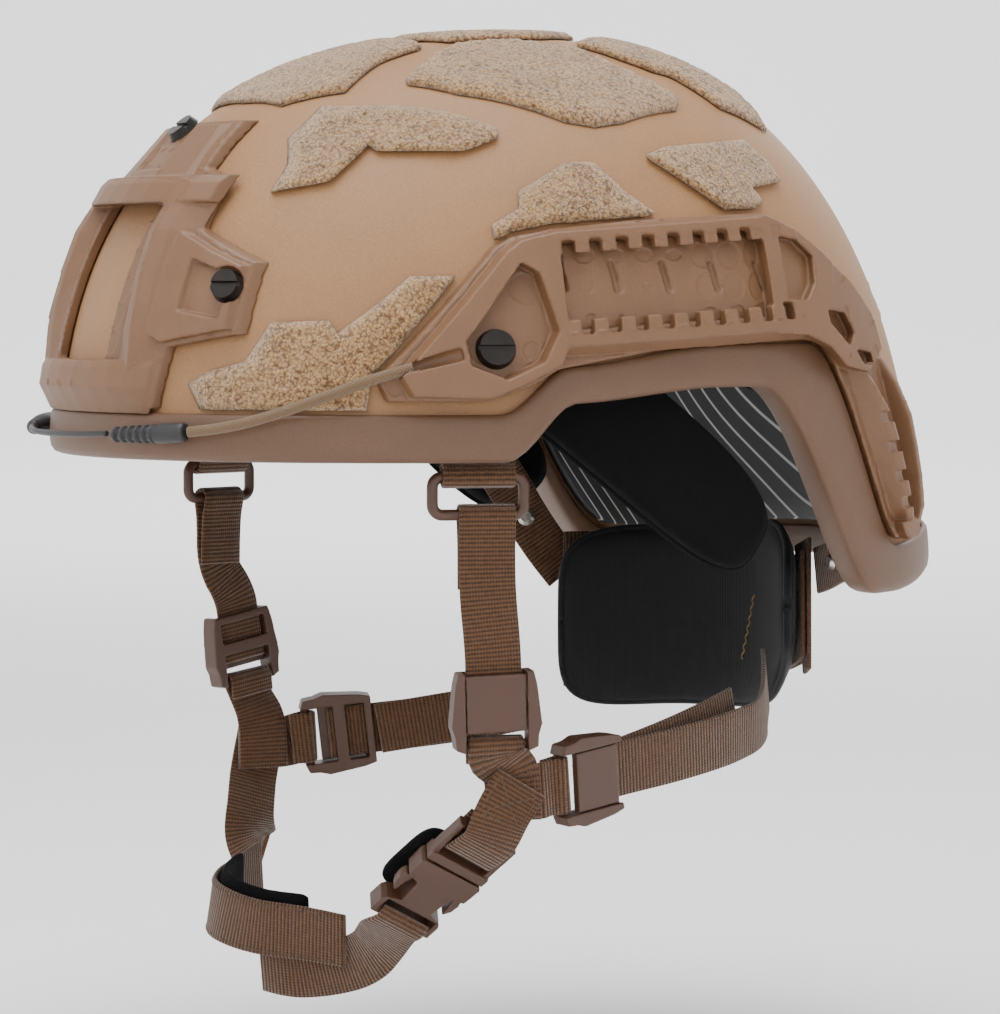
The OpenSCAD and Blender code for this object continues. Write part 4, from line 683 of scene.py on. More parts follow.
def make_materials(scene):
    c = scene.helmet_colours
    # Sand-textured polyurethane paint: matt, gritty, breaks highlights into specks
    materials["paint"] = grained("polyurethane_paint", c.paint, 0.58, 0.8, 0.32, 0.06, 22)
    # Glass-filled nylon from a textured mould: satin, a little warmer than the paint
    materials["nylon"] = grained("moulded_nylon", c.moulded, 0.5, 0.6, 0.1, 0.07, 16)
    # Moulded rubber edging: smooth and satin with soft blotches
    materials["edging"] = grained("moulded_rubber", c.trim, 0.5, 0.8, 0.08, 0.08, 18)
    # Acetal hardware: smooth moulding with a soft gloss
    materials["acetal"] = grained("acetal", c.hardware, 0.42, 0.5, 0.06, 0.08, 8)
    # Nylon loop pile: fuzzy, lighter at the tips and darker at the roots as painted shade
    materials["pile"] = loop_pile("nylon_loop_pile", c.pile_painted_shade, c.pile_light)
    # Nylon webbing: cross ribs about 1.3 mm apart, with painted shade in the grooves between them
    materials["webbing"] = woven("nylon_webbing", c.web_painted_shade, c.web_light, 1.3, 0.9, 0.4)
    # Knitted polyester cover of the nape pad: fine soft ribs with painted shade and highlight
    materials["knit"] = knitted("knitted_polyester", c.black, 0.8)
    # Brushed polyester covers of the comfort pads and the chin: matt nap
    materials["fleece"] = fleece("brushed_polyester", c.black)
    # Black coated foam of the liner with its thin pale lines
    materials["liner"] = lined_liner("coated_foam", c.liner, c.liner_line)
    # Black oxide steel: dark, dull metal that catches light on its edges
    materials["oxide"] = grained("black_oxide_steel", c.screw, 0.38, 0.6, 0.05, 0.3, 4, Metallic=0.7)
    # Bare steel of the nuts
    materials["steel"] = grained("zinc_plated_steel", linear("9a9792"), 0.4, 0.6, 0.04, 0.1, 5, Metallic=1.0)
    # Nickel plate of the snaps: bright and slightly scratched
    materials["nickel"] = grained("nickel_plate", linear("cfcac2"), 0.28, 0.5, 0.03, 0.08, 4, Metallic=1.0)
    # Black natural rubber of the grips: soft gloss with dust in it
    materials["rubber"] = grained("black_rubber", linear("1f1e20"), 0.5, 0.7, 0.06, 0.25, 5)
    # Braided nylon sheath of the bungees
    materials["braid"] = braided("braided_nylon", linear("3b2b1c"), linear("7d603d"), 3.2)
    # Bonded nylon sewing thread
    materials["thread_tan"] = grained("tan_thread", c.thread_tan, 0.6, 0.4, 0.05, 0.1, 3)
    materials["thread_brown"] = grained("brown_thread", c.thread_brown, 0.6, 0.4, 0.05, 0.1, 3)
    materials["thread_black"] = grained("black_thread", linear("2a2a2c"), 0.6, 0.4, 0.05, 0.1, 3)


# The shell, its trim and its liner

# How far the rim of a cup is drawn in from each face, and how far it then stands down
RIM_ROUND = 0.7
RIM_DROP = 0.8
# Height of the shell's and the liner's rim over the rim's line
SHELL_LIFT = 4.2
LINER_LIFT = 13
# Thickness of the trim inside the shell, and the height at which it holds the shell
TRIM_INNER = 2.1
TRIM_SEAT = 3.0


def cup_part(dome, off_out, off_in, lift, cols, rows):
    """A closed cup between two offsets of the dome, rounded at its rim."""
    lon = np.linspace(-math.pi, math.pi, cols, endpoint=False)

    def surface(off):
        low = dome.rim_level(lon, off, lift)
        lat_low = np.arcsin(np.clip(low, -0.98, 0.98))
        rings = []
        for i in range(1, rows + 1):
            lat = math.pi / 2 + (lat_low - math.pi / 2) * (i / rows)
            rings.append(dome.level_pt(lon, off, np.sin(lat) if i < rows else low))
        return rings
    edge = [dome.rim_pt(lon, off, lift - RIM_DROP) for off in (off_out - RIM_ROUND, off_in + RIM_ROUND)]
    rings = surface(off_out) + edge + surface(off_in)[::-1]
    poles = [dome.level_pt(np.zeros(1), off, np.ones(1)) for off in (off_out, off_in)]
    return np.concatenate([*rings, *poles]), poled_faces(len(rings), cols), None


def trim_part(dome, cols=300):
    """The moulded band round the rim, with a rounded lip and a thin bead along its top."""
    lon = np.linspace(-math.pi, math.pi, cols, endpoint=False)
    gap, proud, t = dome.trim_gap, dome.trim_proud, dome.shell_t
    inner = -(t + gap + TRIM_INNER)
    outer_face = [(proud + 0.1, 0.75), (proud + 0.15, 0.5), (proud + 0.1, 0.25)]
    upper = [(gap, 0.0), (gap + 0.9, 0.15), (proud - 0.5, -0.3), (proud, -1.2)]
    lower = [(proud, 4.2), (proud - 0.4, 2.2), (proud - 1.5, 0.7), (-0.5, 0.1), (-t / 2, 0.0),
             (-t + 0.2, 0.1), (inner + 0.9, 0.6), (inner + 0.2, 1.6), (inner, 3.0), (inner, 6.0),
             (inner, 9.2), (inner + 0.5, 10.0), (-(t + gap), 9.8), (-(t + gap), TRIM_SEAT),
             (gap, TRIM_SEAT)]

    def between(off, share):
        low = dome.rim_level(lon, off, TRIM_SEAT)
        high = dome.rim_level(lon, off, 0.0, True)
        return dome.level_pt(lon, off, low + (high - low) * share)
    section = [dome.rim_pt(lon, off, lift, True) for off, lift in upper]
    section += [between(off, share) for off, share in outer_face]
    section += [dome.rim_pt(lon, off, lift) for off, lift in lower]
    rings = np.stack([*section, between(gap, 0.5)], 1)
    return rings.reshape(-1, 3), looped_faces(*rings.shape[:2]), None


class HELMET_OT_shell(Operator):
    """Makes the painted shell over its dome"""
    bl_idname = "helmet.shell"
    bl_label = "Shell"

    def execute(self, context):
        dome = Dome(context.scene)
        cup = cup_part(dome, 0, -dome.shell_t, SHELL_LIFT, 240, 44)
        add_part("shell_painted", cup, "paint", ["shell"])
        return {"FINISHED"}


class HELMET_OT_trim(Operator):
    """Makes the moulded edge trim round the rim"""
    bl_idname = "helmet.trim"
    bl_label = "Edge trim"

    def execute(self, context):
        add_part("edge_trim_moulded", trim_part(Dome(context.scene)), "edging", ["edge_trim"])
        return {"FINISHED"}


class HELMET_OT_liner(Operator):
    """Makes the black liner inside the shell"""
    bl_idname = "helmet.liner"
    bl_label = "Liner"

    def execute(self, context):
        dome = Dome(context.scene)
        cup = cup_part(dome, dome.liner_out, dome.liner_in, LINER_LIFT, 180, 32)
        add_part("impact_liner_coated", cup, "liner", ["impact_liner"])
        return {"FINISHED"}


# Comfort pads

# Share of a pad's half width at which its rim begins, and depth of its seam as a share of its thickness
PAD_FLAT = 0.93
SEAM_DEPTH = 0.32
SEAM_R = 1.1
SEAM_SIDES = 8


def pad_part(dome, view, centre, half_a, half_b, slope, off, thick, corner, seed):
    """A crowned pad on the dome and the bound seam round it."""
    cols, rows = 120, 16
    phases = np.random.RandomState(seed).uniform(0, 6, 6)
    tilt = math.radians(slope)
    angle = np.arange(cols) * 2 * math.pi / cols

    def spot(rho, ang):
        a = half_a * rho * squared(np.cos(ang), 2 / corner)
        b = half_b * rho * squared(np.sin(ang), 2 / corner)
        return (a, b, centre[0] + a * math.cos(tilt) - b * math.sin(tilt),
                centre[1] + a * math.sin(tilt) + b * math.cos(tilt))
    profile = [(i / 6 * PAD_FLAT, 0.0) for i in range(1, 7)]
    profile += [(0.975, 0.06), (0.995, 0.2), (1.0, SEAM_DEPTH), (0.99, 0.5), (0.965, 0.66), (PAD_FLAT, 0.78)]
    profile += [(PAD_FLAT * i / rows, 0.78 + 0.22 * (1 - (i / rows) ** 3)) for i in range(rows - 1, 0, -1)]
    rings, uv = [], []
    for rho, depth in profile:
        a, b, p, q = spot(rho, angle)
        swell = (0.35 * np.sin(a / 7 + phases[0]) * np.sin(b / 6 + phases[1])
                 + 0.2 * np.sin(a / 3.1 + phases[2]))
        deep = depth * thick + (swell - 0.5 if depth > 0.6 else 0.0)
        rings.append(dome.view_pt(view, p, q, off - deep))
        uv += [[x * MM, y * MM] for x, y in zip(a, b)]
    poles = [dome.view_pt(view, [centre[0]], [centre[1]], depth) for depth in (off, off - thick)]
    pad = (np.concatenate([*rings, *poles]), poled_faces(len(rings), cols), uv + [[0, 0], [0, 0]])
    _, _, p, q = spot(1.0, angle)
    seam = dome.view_pt(view, p, q, off - SEAM_DEPTH * thick)
    seam = np.concatenate([seam, seam[:1]])
    way = unit(np.gradient(seam, axis=0))
    out = unit(seam - seam.mean(0))
    side = unit(np.cross(way, out))
    out = np.cross(side, way)
    turn = (np.arange(SEAM_SIDES) * 2 * math.pi / SEAM_SIDES)[None, :, None]
    cord = seam[:-1, None] + SEAM_R * (np.cos(turn) * out[:-1, None] + np.sin(turn) * side[:-1, None])
    cord_uv = [[i * 2.2 * MM, j * 0.8 * MM] for i in range(cols) for j in range(SEAM_SIDES)]
    return merged([pad, (cord.reshape(-1, 3), looped_faces(cols, SEAM_SIDES), cord_uv)])


class HELMET_OT_pads(Operator):
    """Makes the five comfort pads with their bound seams"""
    bl_idname = "helmet.pads"
    bl_label = "Comfort pads"

    def execute(self, context):
        dome = Dome(context.scene)
        rows = [
            ("crown_pad", "top", (0, -13), 46, 52, 0, dome.crown_pad_t, 3, False),
            ("brow_pad", "front", (0, -68), 52, 21, 0, dome.pad_t, 3, False),
            ("back_pad", "rear", (0, -66), 40, 20, 0, dome.pad_t, 3, False),
            ("left_side_pad", "side", (-20, -93), 59, 16.5, -39, dome.pad_t, 3.6, False),
            ("right_side_pad", "side", (-8, -80), 59, 16.5, -45, dome.pad_t, 3.6, True),
        ]
        for i, (name, view, centre, a, b, slope, thick, corner, flip) in enumerate(rows):
            part = pad_part(dome, view, centre, a, b, slope, dome.pad_out, thick, corner, i + 3)
            if flip:
                part = mirrored_part(part)
            piece = add_part(name + "_cover", part, "fleece", [name])
        return {"FINISHED"}


# Loop patches

OUTLINES = {
    "patch_crown_front": ("top", [(28, -57), (32, -73), (41, -88), (29, -104), (9, -108), (-9, -108),
                                  (-29, -104), (-41, -88), (-32, -73), (-28, -57)]),
    "patch_crown_top": ("top", [(6, -52), (24, -46), (24, -14), (9, 4), (-9, 4), (-24, -14), (-24, -46),
                                (-6, -52)]),
    "patch_crown_rear": ("top", [(36, -8), (47, 2), (52, 10), (52, 16), (61, 29), (56, 48), (-56, 48),
                                 (-61, 29), (-52, 16), (-52, 10), (-47, 2), (-36, -8), (-15, 12),
                                 (15, 12)]),
    "patch_back": ("rear", [(14, -38), (34, -48), (38, -60), (30, -70), (-30, -70), (-38, -60), (-34, -48),
                            (-14, -38)]),
    "patches_upper_front": ("side", [(-117, -23), (-103, -20), (-90, -9), (-88, -11), (-65, -11), (-54, -7),
                                     (-53, -4), (-65, 1), (-77, 3), (-96, 3), (-108, -7), (-111, -15)]),
    "patches_crown_side": ("top", [(49, -72), (60, -59), (67, -46), (75, -31), (77, -22), (76, -12),
                                   (70, 9), (66, 12), (58, -1), (45, -11), (34, -28), (33, -47),
                                   (43, -63)]),
    "patches_over_rail": ("side", [(-62, -37.2), (-62, -33), (-53, -28), (-52, -23), (-35, -14), (-27, -14),
                                   (-19, -23), (-11, -29), (-14, -30.2), (-45, -32.6), (-57, -35)]),
    "patches_rear_side": ("side", [(-9, -12), (-1, -9), (31, -6), (35, -10), (39, -13), (41, -19), (27, -21),
                                   (30, -25), (26, -27.5), (14, -28)]),
    "patches_lower_front": ("side", [(-141, -87), (-143, -80), (-139, -76), (-130.5, -73),
                                     (-123.5, -61.5), (-110, -61), (-108, -65), (-94, -54), (-87, -48),
                                     (-75, -48), (-93.5, -69.5), (-100.5, -77), (-102, -87)]),
}


def edge_distance(points, outline):
    """Distance of points to a polygon's edge, positive inside, and the nearest point on it."""
    poly = np.asarray(outline, float)
    best = np.full(len(points), 1e9)
    near = np.zeros_like(points)
    inside = np.zeros(len(points), bool)
    for i in range(len(poly)):
        a, b = poly[i], poly[(i + 1) % len(poly)]
        ab = b - a
        t = np.clip(((points - a) @ ab) / (ab @ ab), 0, 1)
        q = a + t[:, None] * ab
        d = np.linalg.norm(points - q, axis=1)
        closer = d < best
        best[closer] = d[closer]
        near[closer] = q[closer]
        crosses = (a[1] > points[:, 1]) != (b[1] > points[:, 1])
        with np.errstate(divide="ignore", invalid="ignore"):
            x_at = (b[0] - a[0]) * (points[:, 1] - a[1]) / (b[1] - a[1]) + a[0]
        inside ^= crosses & (points[:, 0] < x_at)
    return np.where(inside, best, -best), near


# Size of the small faces that make up the pile
PILE_CELL = 1.0


def pile_part(dome, view, outline, seed):
    """A patch of loop pile: a fine lumpy sheet on the dome with a lower edge all round."""
    noise = np.random.RandomState(seed)
    poly = np.asarray(outline, float)
    low, high = poly.min(0), poly.max(0)
    nx = int(math.ceil((high[0] - low[0]) / PILE_CELL)) + 1
    ny = int(math.ceil((high[1] - low[1]) / PILE_CELL)) + 1
    gx, gy = np.meshgrid(low[0] + np.arange(nx) * PILE_CELL, low[1] + np.arange(ny) * PILE_CELL,
                         indexing="ij")
    flat = np.stack([gx.ravel(), gy.ravel()], 1)
    dist, near = edge_distance(flat, outline)
    keep_cell = (edge_distance(flat + PILE_CELL / 2, outline)[0] > 0).reshape(nx, ny)
    keep_cell[-1, :] = False
    keep_cell[:, -1] = False
    ids = np.arange(nx * ny).reshape(nx, ny)
    quads = [(ids[i, j], ids[i + 1, j], ids[i + 1, j + 1], ids[i, j + 1])
             for i in range(nx - 1) for j in range(ny - 1) if keep_cell[i, j]]
    edges = {}
    for q in quads:
        for k in range(4):
            key = (q[k], q[(k + 1) % 4])
            if (key[1], key[0]) in edges:
                del edges[(key[1], key[0])]
            else:
                edges[key] = True
    border = sorted({v for e in edges for v in e})
    flat[border] = near[border]
    dist[border] = 0
    used = sorted({v for q in quads for v in q})
    new_id = {v: i for i, v in enumerate(used)}
    n = len(used)
    base = flat[used]
    d = np.maximum(dist[used], 0)
    on_border = np.isin(used, border)
    jitter = noise.uniform(-1, 1, (n, 3))
    spread = np.where(on_border, 0.12, 0.32)[:, None]
    height = dome.seat_gap + dome.patch_t * (0.62 + 0.38 * ramp(d, 0, 1.6)) - 0.3
    height = height + np.where(on_border, 0.1, 0.42) * jitter[:, 2]
    top = dome.view_pt(view, *(base + spread * jitter[:, :2]).T, height)
    bottom = dome.view_pt(view, *base.T, dome.seat_gap)
    faces = [[new_id[v] for v in q] for q in quads]
    faces += [[new_id[v] + n for v in q[::-1]] for q in quads]
    for a, b in edges:
        faces.append([new_id[a], new_id[a] + n, new_id[b] + n, new_id[b]])
    return np.concatenate([top, bottom]), faces, None


class HELMET_OT_patches(Operator):
    """Makes the loop patches with their lumpy pile"""
    bl_idname = "helmet.patches"
    bl_label = "Loop patches"

    def execute(self, context):
        dome = Dome(context.scene)
        for i, (name, (view, outline)) in enumerate(OUTLINES.items()):
            part = pile_part(dome, view, outline, 40 + i)
            if name.startswith("patches"):
                part = both(part)
            add_part(name + "_pile", part[:2], "pile", [name])
        return {"FINISHED"}


# Moulded hardware

# Heights over the dome of the flat faces of the shroud's and the rails' plates
SHROUD_LEVELS = (3.2, 3.4, 8.0)
RAIL_LEVELS = (3.8, 4.0, 9.0)


class HELMET_OT_shroud(Operator):
    """Makes the front shroud with its rounded moulded edges"""
    bl_idname = "helmet.shroud"
    bl_label = "Front shroud"

    def execute(self, context):
        moulded("nvg_shroud", "nylon", "tan_plastic", 0.5, 3, dome=Dome(context.scene), levels=SHROUD_LEVELS)
        return {"FINISHED"}


class HELMET_OT_rails(Operator):
    """Makes both toothed side rails with rounded moulded edges"""
    bl_idname = "helmet.rails"
    bl_label = "Side rails"

    def execute(self, context):
        dome = Dome(context.scene)
        for side in ("left", "right"):
            moulded(f"{side}_rail", "nylon", "tan_plastic", 0.45, 2, dome=dome, levels=RAIL_LEVELS)
        return {"FINISHED"}


class HELMET_OT_screws(Operator):
    """Gives the screws, nuts and snaps their metal finishes"""
    bl_idname = "helmet.screws"
    bl_label = "Screws and snaps"

    def execute(self, context):
        for name, finish in (("shroud_screws", "oxide"), ("rail_screws", "oxide"), ("shell_nuts", "steel"),
                             ("nape_snaps", "nickel")):
            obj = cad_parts[name]
            obj.data.materials.clear()
            obj.data.materials.append(materials[finish])
        return {"FINISHED"}


BUNGEE = [(99.5, -91.5, -74.5), (96.5, -98, -76.5), (93, -105, -79), (88, -113, -82.5), (83, -121, -86),
          (77.5, -128.5, -89), (72, -135.2, -91.3), (67, -140.6, -92.6), (61, -146.3, -93.5)]
GRIP = [(60.4, -146.8, -93.6), (56, -150.2, -94), (52, -153, -94.2), (47, -155.8, -94.4), (42, -158.4, -94.6),
        (36, -161, -94.8)]
HOOK = [(34, -162, -94.5), (26, -165, -95), (14, -167.5, -95.3), (0, -168.3, -95.4), (-14, -167.5, -95.3),
        (-26, -165, -95), (-34, -162, -94.5)]


def grip_part():
    """The rubber grip: a plain sleeve and then six saw-tooth ribs that get smaller."""
    a, b, c = np.array(GRIP[0], float), np.array(GRIP[2], float), np.array(GRIP[5], float)
    stations = [(a, b, 0.0, 2.6), (a, b, 0.05, 3.0), (a, b, 0.5, 3.0), (a, b, 0.97, 3.0), (a, b, 1.0, 2.8)]
    ribs = 6
    for i in range(ribs):
        for t, r in ((0.04, 2.05), (0.12, 2.9), (0.3, 3.0), (0.6, 2.5), (0.96, 2.0)):
            stations.append((b, c, (i + t) / ribs, r - 0.1 * i))
    stations.append((b, c, 1.0, 1.0))
    rings = []
    sides = 28
    for p, q, t, r in stations:
        way = unit(q - p)
        u = unit(np.cross(way, [0, 0, 1.0]))
        v = np.cross(u, way)
        centre = p + (q - p) * t
        turns = [k * 2 * math.pi / sides for k in range(sides)]
        rings.append([centre + r * (math.cos(q) * u + math.sin(q) * v) for q in turns])
    return tube_part(rings)


class HELMET_OT_bungees(Operator):
    """Makes the braided bungees, their rubber grips and the thin loop between them"""
    bl_idname = "helmet.bungees"
    bl_label = "Bungees"

    def execute(self, context):
        dome = Dome(context.scene)
        cord = cord_part(BUNGEE, dome.bungee_d, 20, 0.8)
        grip = grip_part()
        for side, turn in (("left", lambda part: part), ("right", mirrored_part)):
            add_part(f"{side}_bungee_braid", turn(cord), "braid", [f"{side}_bungee"])
            piece = add_part(f"{side}_grip_rubber", turn(grip)[:2], "rubber",
                             [f"{side}_grip"])
            piece.modifiers.new("round", "SUBSURF").render_levels = 1
        hook = cord_part(HOOK, dome.loop_d, 12, 1.0)
        add_part("hook_loop_cord", hook, "rubber", ["hook_loop"])
        return {"FINISHED"}


class HELMET_OT_rings(Operator):
    """Makes the two hanger rings"""
    bl_idname = "helmet.rings"
    bl_label = "Rings"

    def execute(self, context):
        for side in ("left", "right"):
            moulded(f"{side}_ring", "acetal", "brown_plastic", 0.35, 3)
        return {"FINISHED"}


class HELMET_OT_adjusters(Operator):
    """Makes the four strap adjusters and their cam levers"""
    bl_idname = "helmet.adjusters"
    bl_label = "Adjusters"

    def execute(self, context):
        for place in ("left_front", "right_front", "left_rear", "right_rear"):
            moulded(f"{place}_adjuster", "acetal", "brown_plastic", 0.32, 4)
            moulded(f"{place}_lever", "acetal", "brown_plastic", 0.3, 4, f"{place}_lever")
        return {"FINISHED"}


# Harness webbing: the same routes as the solids', in millimetres

RING_LEFT = ((90, -66.5, -112.5), (0.24, 0.97, 0), (0, 0, 1))
RING_RIGHT = ((-87.3, -79.3, -115), (0.37, -0.93, 0), (0, 0, 1))
RING_HALF_H = 5.6
RING_D = 3.4
ADJUSTERS = {
    "left_front": ((91.5, -62, -176), (0.2, 0.98, 0), (0.06, -0.05, 1)),
    "right_front": ((-89.3, -70.3, -171), (0.3, -0.95, -0.12), (0.02, -0.16, 1)),
    "left_rear": ((83, -28, -198.5), (-0.1, 0.12, -1), (-0.28, 0.95, 0.12)),
    "right_rear": ((-81.4, -39.4, -200), (0.1, -0.1, 1), (0.3, 0.95, 0.12)),
}
ADJ_L = 24
ADJ_BAR_R = 1.4
ADJ_END_Y = ADJ_L / 2 - ADJ_BAR_R - 0.3
JOINT_LEFT = ((89.4, -54.8, -201), (0.97, -0.24, 0))
JOINT_RIGHT = ((-87, -64.6, -203), (-1, 0, 0))
BUCKLE = ((72, -66.7, -224.5), (-0.079, 0.867, -0.492), (0.667, 0.393, 0.634))
# The bars that the webbing goes round: on the plug, and at the far end of the socket inside its wall
PLUG_BAR_Y = 8.4
PLUG_BAR_R = 1.2
SOCKET_L = 26
SOCKET_WALL = 1.3
BUCKLE_HALF_T = 3.5
# Room round a bar under the webbing, and between two layers of webbing
WRAP_GAP = 0.35
LAYER_GAP = 0.5
# Point inside the head that the stitched faces of the webbing look away from
HEAD_AXIS = (0, -30, -180)


def hanging(f):
    """Across, up and outward directions of a place on the harness."""
    x, y = unit(f[1]), unit(f[2])
    return x, y, np.cross(x, y)


def half_turn(c, up, out, w, r, rise):
    """Webbing folded half round a bar, over it or under it."""
    turns = [math.radians(a) for a in range(0, 181, 30)]
    return [(c - r * math.cos(q) * out + rise * r * math.sin(q) * up, w) for q in turns]


def joint_path(j, turn, k, ends, layer):
    """Straight webbing through a sewn joint, turned in its plane and some layers off it."""
    out = np.array(j[1], float)
    t = np.cross([0, 0, 1], out)
    q = math.radians(turn)
    d = math.cos(q) * np.array([0, 0, 1.0]) + math.sin(q) * t
    w = math.cos(q) * t - math.sin(q) * np.array([0, 0, 1.0])
    return [(np.array(j[0]) + s * d + k * layer * out, w) for s in ends]


def routes(dome):
    """Every run of webbing by name: lists of centre and width direction."""
    t = dome.web_t
    layer = t + LAYER_GAP
    wrap_r = RING_D / 2 + WRAP_GAP + t / 2
    bar_wrap = ADJ_BAR_R + WRAP_GAP + t / 2

    def upper_run(ring, adj, shift):
        v, a = hanging(ring), hanging(adj)
        c = np.array(ring[0]) - RING_HALF_H * v[1] + shift * v[0]
        o = np.array(adj[0], float)
        return [(c - 22 * v[1] - 0.6 * v[2], v[0]), (c - 7 * v[1] - 0.9 * v[2], v[0]),
                *half_turn(c, v[1], v[2], v[0], wrap_r, 1),
                (c - 7 * v[1] + 1.4 * v[2], v[0]), (c - 22 * v[1] + 1.5 * v[2], v[0]),
                (o + (ADJ_L / 2 + 6) * a[1], a[0]), (o + (ADJ_L / 2 - 2) * a[1], a[0]), (o - 4 * a[1], a[0])]

    def lower_run(adj, tail):
        a = hanging(adj)
        c = np.array(adj[0]) - ADJ_END_Y * a[1]
        return [(c - 5.5 * a[1] - 1.8 * a[2], a[0]), (c - 3.5 * a[1] - 1.8 * a[2], a[0]),
                *half_turn(c, a[1], a[2], a[0], bar_wrap, 1), (c - 4.5 * a[1] + 0.2 * a[2], a[0]), *tail]

    def rear_runs(adj, tail, outer, inner):
        a = hanging(adj)
        o = np.array(adj[0], float)
        return [lower_run(adj, tail),
                [(o - 3 * a[1], a[0]), (o + (ADJ_L / 2 + 4) * a[1], a[0]), *outer],
                [(o + (ADJ_L / 2 + 1.5) * a[1] - 2.4 * a[2], a[0]), *inner]]

    def hanger(f, lean):
        v = hanging(f)
        c = np.array(f[0]) + RING_HALF_H * v[1]
        ply = (t + 0.3) / 2
        return [(c + 14 * v[1] - (lean + ply) * v[2], v[0]), (c + 4.5 * v[1] - (lean + ply) * v[2], v[0]),
                *half_turn(c, v[1], v[2], v[0], wrap_r, -1),
                (c + 2.2 * v[1] + 2 * v[2], v[0]), (c + 4.5 * v[1] - (lean - ply) * v[2], v[0]),
                (c + 14 * v[1] - (lean - ply) * v[2], v[0])]
    b = hanging(BUCKLE)
    bo = np.array(BUCKLE[0], float)
    plug_bar = bo + PLUG_BAR_Y * b[1]
    plug_wrap = PLUG_BAR_R + WRAP_GAP + t / 2
    turns = [math.radians(a) for a in range(0, 181, 30)]
    around = [(plug_bar + plug_wrap * (math.cos(q) * b[2] - math.sin(q) * b[1]), b[0]) for q in turns]
    socket_bar = bo - (SOCKET_L - SOCKET_WALL) * b[1]
    socket_wrap = BUCKLE_HALF_T + WRAP_GAP + t / 2
    under = [((42, -77.5, -250.5), (0.1, -0.6, 0.8)), ((35, -77.5, -255.5), (0, -0.3, 0.95)),
             ((25.5, -80.8, -260), (0, -0.12, 1)), ((11.5, -89.5, -263.6), (0, -0.15, 1)),
             ((4, -95.5, -263.6), (0.1, -0.2, 0.97)), ((-2, -98.5, -262.9), (0.1, -0.2, 0.97))]
    return {
        "left_hanger": [hanger(RING_LEFT, 1.7)],
        "right_hanger": [hanger(RING_RIGHT, 3.5)],
        "left_front_strap": [
            upper_run(RING_LEFT, ADJUSTERS["left_front"], 2.4),
            lower_run(ADJUSTERS["left_front"], joint_path(JOINT_LEFT, 0, 0, [7, -8], layer))],
        "right_front_strap": [
            upper_run(RING_RIGHT, ADJUSTERS["right_front"], 0),
            lower_run(ADJUSTERS["right_front"], joint_path(JOINT_RIGHT, 0, -1, [8, -8], layer))],
        "left_rear_strap": rear_runs(
            ADJUSTERS["left_rear"], joint_path(JOINT_LEFT, 90, -1, [9, -8], layer),
            [((74, 8, -194), (-0.1, 0.1, -1)), ((67, 27, -191.5), (-0.1, 0.05, -1)),
             ((61.5, 37, -190), (-0.2, 0.15, -1)), ((57, 45, -188.5), (-0.3, 0.2, -1)),
             ((51, 50.5, -186), (-0.2, 0.2, -1)), ((44, 54.5, -182), (-0.1, 0.1, -1)),
             ((36.8, 58.8, -177.5), (0, 0.1, -1)), ((28, 63.2, -175), (0, 0.1, -1))],
            [((70, 6, -192), (-0.1, 0.2, -1)), ((62, 25, -187.5), (-0.1, 0.3, -1)),
             ((54.5, 38, -184.5), (-0.1, 0.3, -1))]),
        "right_rear_strap": rear_runs(
            ADJUSTERS["right_rear"], joint_path(JOINT_RIGHT, -90, 0, [9.5, -8], layer),
            [((-70.5, -10, -196.5), (0.1, -0.1, 1)), ((-64, 10, -193.5), (0.1, -0.1, 1)),
             ((-60.5, 20, -191.5), (0.1, -0.1, 1))],
            [((-67, -10, -195.5), (0.1, -0.1, 1)), ((-61, 8, -192.5), (0.1, -0.1, 1)),
             ((-58, 14, -190.5), (0.1, -0.1, 1))]),
        "chin_strap_left": [[
            *joint_path(JOINT_LEFT, 32, 1, [4, -7], layer),
            (plug_bar + 9.5 * b[1] + 3.7 * b[2], b[0]), (plug_bar + 5 * b[1] + 3.3 * b[2], b[0]), *around,
            (plug_bar + 5 * b[1] - 3.2 * b[2], b[0]), (plug_bar + 11 * b[1] - 3.4 * b[2], b[0])]],
        "chin_strap_right": [[
            *joint_path(JOINT_RIGHT, -12, 1, [7, -10], layer),
            ((-86, -68.5, -218.5), (0.1, -0.95, 0.1)), ((-79.5, -72, -229), (0.2, -0.85, -0.2)),
            ((-69, -75, -235.5), (0.1, -0.6, -0.75)), ((-60.5, -75.5, -238), (0, -0.2, -1))]],
        "chin_cup": [CUP_ROUTE, [
            (socket_bar + 2.9 * b[1] + (socket_wrap - 1.2) * b[2], b[0]),
            (socket_bar + 1.2 * b[1] + socket_wrap * b[2], b[0]),
            (socket_bar - 1.6 * b[1] + socket_wrap * b[2], b[0]),
            (socket_bar - 6 * b[1] + (socket_wrap - 2.2) * b[2], b[0]),
            *[(p, -np.array(w)) for p, w in under]]],
        "left_nape_tab": [[
            ((35, 78.4, -142), (0, 0, 1)), ((42, 78, -140.5), (0, 0, 1)), ((48, 77.8, -138.5), (0, 0, 1)),
            ((58, 76.5, -136), (0, 0, 1)), ((69, 73, -134), (0, 0, 1))]],
        "right_nape_tab": [[
            ((-56.6, 33.5, -147), (0.15, 0.8, 0.4)), ((-58.5, 27.5, -139), (0.25, 0.8, 0.5)),
            ((-62.5, 21.5, -128.5), (0.35, 0.8, 0.5)), ((-68.5, 17.5, -117.5), (0.45, 0.75, 0.5)),
            ((-75, 14, -109), (0.45, 0.75, 0.5))]],
    }


CUP_ROUTE = [((-57, -77, -239.8), (0, 0.1, 1)), ((-51, -85, -241.8), (0, 0.1, 1)),
             ((-44.5, -92, -243.5), (0, 0.1, 1)), ((-33, -103, -245), (0, 0.15, 1)),
             ((-17, -110, -246.5), (0, 0.15, 1)), ((0, -103.5, -250), (0.1, 0.15, 1)),
             ((15, -92.5, -250.5), (0.2, 0.1, 1)), ((28, -83, -252), (0.3, 0, 1))]
# Runs of webbing by node, kept for the stitching
strips = {}


